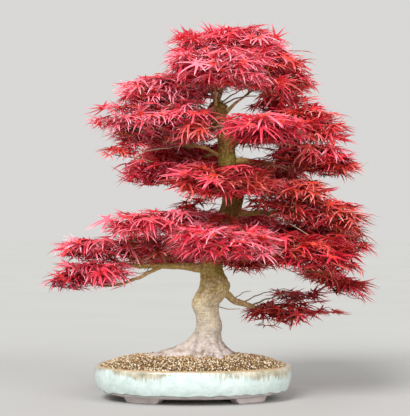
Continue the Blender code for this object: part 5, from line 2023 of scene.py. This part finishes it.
@dataclass
class Pot:
    """The oval pot: glazed wall and lip above a bare base, on four feet, with two drain holes."""

    place: PlantFrame
    half_length: float = 160.0
    half_width: float = 115.0
    oval_power: float = 2.2
    sides: int = 200
    row_steps: int = 7
    rim_height: float = 56.0
    floor_height: float = 16.5
    foot_height: float = 8.0
    glaze_line: float = 15.0
    glazed_rows: tuple[float, float] = (2.0, 10.0)
    glaze_thickness: float = 0.6
    glaze_rounding: float = 1.2
    line_wave: float = 2.6
    wave_size: float = 13.0
    wave_level: float = 4.0
    wave_reach: float = 4.0
    edge_reach: float = 1.0
    wobble: float = 0.45
    wobble_size: tuple[float, float] = (55.0, 40.0)
    lip_inset: float = 8.0
    sharp_angle: float = 50.0
    foot_headings: tuple[float, ...] = (-44.0, 44.0, 128.0, -128.0)
    foot_half_turn: float = 18.0
    foot_stations: int = 13
    foot_overlap: float = 4.5
    drain_radius: float = 8.0
    drain_x: float = 62.0
    drain_sides: int = 32
    drain_overlap: float = 4.0

    def oval(self, inset: float, angle: float) -> tuple[float, float]:
        """A point of the pot's oval, set in from its widest outline.

        Args:
            inset: How far it is set in.
            angle: Its angle in radians.

        Returns:
            Its x and y.
        """
        across = abs(cos(angle)) ** (2.0 / self.oval_power)
        along = abs(sin(angle)) ** (2.0 / self.oval_power)
        x = (self.half_length - inset) * across * (1.0 if cos(angle) >= 0.0 else -1.0)
        y = (self.half_width - inset) * along * (1.0 if sin(angle) >= 0.0 else -1.0)
        return x, y

    def profile(self) -> list[tuple[float, float, bool]]:
        """The pot's section from the base up over the lip and down to the floor.

        Returns:
            Rows of inset, height and whether the row is glazed.
        """
        outside = ((30.0, self.foot_height), (24.0, self.foot_height + 1.5), (8.5, self.glaze_line),
                   (4.0, self.glaze_line + 6.0), (0.8, self.glaze_line + 16.0), (0.0, self.rim_height - 14.0),
                   (1.0, self.rim_height - 4.0), (3.5, self.rim_height - 0.6), (6.0, self.rim_height))
        inside = ((9.0, self.rim_height - 1.5), (10.5, self.rim_height - 6.0), (12.0, self.rim_height - 20.0),
                  (15.0, self.floor_height + 7.0), (24.0, self.floor_height))
        knots = outside + inside
        low, high = self.glazed_rows
        rows = []
        for step in range((len(knots) - 1) * self.row_steps + 1):
            position = step / self.row_steps
            rows.append((spline([knot[0] for knot in knots], position),
                         spline([knot[1] for knot in knots], position), low <= position < high))
        return rows

    def build(self) -> None:
        """Make the pot."""
        rows = self.profile()
        points = []
        edge_heights = []
        for inset, height, _ in rows:
            for side in range(self.sides):
                angle = tau * side / self.sides
                x, y = self.oval(inset, angle)
                waves = Vector((x / self.wave_size, y / self.wave_size, self.wave_level))
                wave = self.line_wave * noise.noise(waves)
                above = height - self.glaze_line
                near = exp(-(above / self.wave_reach) ** 2)
                thick = self.glaze_thickness * ramp(above, 0.0, self.glaze_rounding)
                size, rise = self.wobble_size
                swell = thick + self.wobble * noise.noise(Vector((x / size, y / size, height / rise)))
                scale = 1.0 + swell / hypot(x, y)
                outer = inset < self.lip_inset or above < self.edge_reach
                points.append((x * scale, y * scale, height + (wave * near if outer else 0.0)))
                edge_heights.append(above * MM if outer else 1.0)
        piece = self.place.make_piece("glazed_pot", points, closed_faces(len(rows), self.sides))
        set_attribute(piece.data, "glaze_height", "FLOAT", edge_heights)
        piece.data.materials.append(ClayFinish().make())
        piece.data.materials.append(GlazeFinish(self.rim_height * MM).make())
        glazed = [1 if rows[face // self.sides][2] else 0 for face in range((len(rows) - 1) * self.sides)]
        piece.data.polygons.foreach_set("material_index", glazed + [0, 0])
        self.drill(piece)
        piece.data.shade_smooth()
        piece.data.set_sharp_from_angle(angle=radians(self.sharp_angle))
        publish(piece, ["pot"])
        for number, heading in enumerate(self.foot_headings):
            self.build_foot(number + 1, heading)

    def drill(self, piece: Object) -> None:
        """Cut the drain holes.

        Args:
            piece: The pot.
        """
        low = self.foot_height - self.drain_overlap
        high = self.floor_height + self.drain_overlap
        turns = [tau * side / self.drain_sides for side in range(self.drain_sides)]
        for x in (-self.drain_x, self.drain_x):
            rings = [(x + self.drain_radius * cos(turn), self.drain_radius * sin(turn), level)
                     for level in (low, high) for turn in turns]
            cutter = self.place.make_piece("drain_cutter", rings, closed_faces(2, self.drain_sides))
            cut = piece.modifiers.new("drain", "BOOLEAN")
            cut.operation = "DIFFERENCE"
            cut.object = cutter
            keep_evaluated(piece)
            bpy.data.objects.remove(cutter)

    def build_foot(self, number: int, heading: float) -> None:
        """Make one foot that follows the oval, with softened edges.

        Args:
            number: The foot's number.
            heading: Where it stands, in degrees.
        """
        stations = self.foot_stations
        top = self.foot_height + self.foot_overlap
        # The section's corners: inset, height, and how many degrees sooner the foot ends there
        section = ((27.0, top, 0.0), (29.4, 1.4, 3.6), (30.6, 0.0, 5.2), (46.6, 0.0, 5.2), (47.6, 1.4, 3.6),
                   (50.0, top, 0.0))
        points = []
        for station in range(stations):
            share = 2.0 * station / (stations - 1) - 1.0
            for inset, height, shorten in section:
                turn = radians(heading + share * (self.foot_half_turn - shorten))
                points.append((*self.oval(inset, turn), height))
        size = len(section)
        faces = [tuple(range(size)), tuple(reversed(range((stations - 1) * size, stations * size)))]
        for low in range(0, (stations - 1) * size, size):
            for corner in range(size):
                after = (corner + 1) % size
                faces.append((low + after, low + corner, low + size + corner, low + size + after))
        piece = self.place.make_piece(f"pot_foot_{number}", points, faces)
        face_outwards(piece)
        piece.data.materials.append(bpy.data.materials["bare_fired_stoneware"])
        publish(piece, ["pot"])


def face_outwards(piece: Object) -> None:
    """Turn all of a closed piece's faces outwards.

    Args:
        piece: The closed piece.
    """
    work = bmesh.new()
    work.from_mesh(piece.data)
    bmesh.ops.recalc_face_normals(work, faces=work.faces)
    work.to_mesh(piece.data)
    work.free()


@dataclass
class Grit:
    """The grit that fills the pot: a bed of fines under a mound of loose grains."""

    pot: Pot
    sides: int = 120
    rings: int = 36
    edge_height: float = 54.5
    mound: float = 17.5
    mound_power: float = 3.5
    wall_inset: float = 9.3
    first_inset: float = 10.2
    middle_gap: float = 2.0
    bottom_inset: float = 26.0
    bottom_gap: float = 1.0
    bed_depth: float = 1.6
    unevenness: float = 1.0
    uneven_size: float = 9.0
    uneven_level: float = 2.0
    grain_width: float = 3.7
    grain_spacing: float = 2.85
    grain_packing: float = 1.6
    grain_variants: int = 6
    grain_depth: tuple[float, float] = (0.7, 0.95)
    grain_height: tuple[float, float] = (0.55, 0.85)
    grain_corners: tuple[float, float] = (0.8, 1.15)
    seed: int = 11

    def height(self, inset: float) -> float:
        """Height of the mound at an inset from the pot's widest outline."""
        share = (self.pot.half_width - inset) / (self.pot.half_width - self.wall_inset)
        return self.edge_height + self.mound * (1.0 - max(share, 0.0) ** self.mound_power)

    def build(self) -> None:
        """Make the bed and the grains."""
        points = []
        last = self.pot.half_width - self.middle_gap
        for ring in range(self.rings):
            inset = self.first_inset + (last - self.first_inset) * ring / (self.rings - 1)
            for side in range(self.sides):
                x, y = self.pot.oval(inset, tau * side / self.sides)
                place = Vector((x / self.uneven_size, y / self.uneven_size, self.uneven_level))
                rough = self.unevenness * noise.noise(place)
                points.append((x, y, self.height(inset) - self.bed_depth + rough))
        low = len(points)
        for side in range(self.sides):
            x, y = self.pot.oval(self.bottom_inset, tau * side / self.sides)
            points.append((x, y, self.pot.floor_height + self.bottom_gap))
        faces = ring_faces(self.rings, self.sides)
        faces.append(tuple(range(low - self.sides, low)))
        for side in range(self.sides):
            after = (side + 1) % self.sides
            faces.append((after, side, low + side, low + after))
        faces.append(tuple(reversed(range(low, low + self.sides))))
        bed = self.pot.place.make_piece("grit_bed", points, faces)
        face_outwards(bed)
        top = self.pot.place.make_piece("grit_grains", points[:low], ring_faces(self.rings, self.sides))
        bed.data.shade_smooth()
        bed.data.materials.append(SoilFinish().make())
        publish(bed, ["grit"])
        shapes = self.grain_shapes()
        GrainTree().shape(top, {
            "Grain Shapes": shapes, "Grain Spacing": self.grain_spacing * MM,
            "Grain Width": self.grain_width * MM, "Seed": self.seed, "Finish": GritFinish().make(),
            "Most Per Area": self.grain_packing / (self.grain_spacing * MM) ** 2})
        drop_shapes(shapes)
        publish(top, ["grit"])

    def grain_shapes(self) -> Collection:
        """Make a few angular stones of unit width.

        Returns:
            The collection that keeps them.
        """
        dice = random.Random(self.seed)
        holder = bpy.data.collections.new("grain_shapes")
        for number in range(self.grain_variants):
            work = bmesh.new()
            bmesh.ops.create_icosphere(work, subdivisions=1, radius=0.5)
            squash = Vector((1.0, dice.uniform(*self.grain_depth), dice.uniform(*self.grain_height)))
            for vertex in work.verts:
                vertex.co = vertex.co * squash * dice.uniform(*self.grain_corners)
            mesh = bpy.data.meshes.new(f"grain_{number}")
            work.to_mesh(mesh)
            work.free()
            holder.objects.link(bpy.data.objects.new(mesh.name, mesh))
        return holder


class Lamp(NamedTuple):
    """A soft light from far away: its heading, height and spread in degrees, and its strength."""

    name: str
    heading: float
    rise: float
    spread: float
    strength: float


@dataclass
class Studio:
    """Camera, soft lights and a pale paper floor. Lengths are in metres from the pot's middle."""

    place: PlantFrame
    distance: float = 2.350
    aim_x: float = 0.0196
    aim_height: float = 0.3104
    lens: float = 124.5
    far: float = 100.0
    floor_size: float = 24.0
    lamps: tuple[Lamp, ...] = (Lamp("key", -24.0, 40.0, 26.0, 3.2), Lamp("fill", 40.0, 24.0, 40.0, 1.5))
    sky: str = "efeeec"
    sky_strength: float = 0.8

    def build(self) -> None:
        """Set the camera, the lights, the world and the floor."""
        scene = bpy.context.scene
        scene.view_settings.view_transform = "Standard"
        camera = bpy.data.objects.new("camera", bpy.data.cameras.new("camera"))
        camera.data.lens = self.lens
        camera.location = (self.place.x + self.aim_x, self.place.y - self.distance, self.aim_height)
        camera.rotation_euler = (0.5 * pi, 0.0, 0.0)
        camera.data.clip_end = self.far
        scene.collection.objects.link(camera)
        scene.camera = camera
        for lamp in self.lamps:
            light = bpy.data.lights.new(lamp.name, "SUN")
            light.energy = lamp.strength
            light.angle = radians(lamp.spread)
            holder = bpy.data.objects.new(lamp.name, light)
            holder.rotation_euler = (radians(90.0 - lamp.rise), 0.0, radians(lamp.heading))
            scene.collection.objects.link(holder)
        world = bpy.data.worlds.new("studio")
        world.use_nodes = True
        sky = world.node_tree.nodes["Background"]
        sky.inputs["Color"].default_value = linear_colour(self.sky)
        sky.inputs["Strength"].default_value = self.sky_strength
        scene.world = world
        half = 0.5 * self.floor_size / MM
        corners = [(-half, -half, 0), (half, -half, 0), (half, half, 0), (-half, half, 0)]
        floor = self.place.make_piece("floor", corners, [(0, 1, 2, 3)])
        floor.data.materials.append(PaperFinish().make())


def main() -> None:
    """Build the whole plant and its studio."""
    logging.basicConfig(level=logging.INFO, format="%(message)s")
    noise.seed_set(NOISE_SEED)
    place = PlantFrame.from_pot()
    Studio(place).build()
    skeleton = Skeleton()
    skeleton.grow()
    pot = Pot(place)
    pot.build()
    Grit(pot).build()
    Trunk(skeleton, place).build()
    limb_tree = LimbTree()
    Boughs(skeleton, place).build(limb_tree)
    Foliage(skeleton, place).build(limb_tree)


if __name__ == "__main__":
    main()
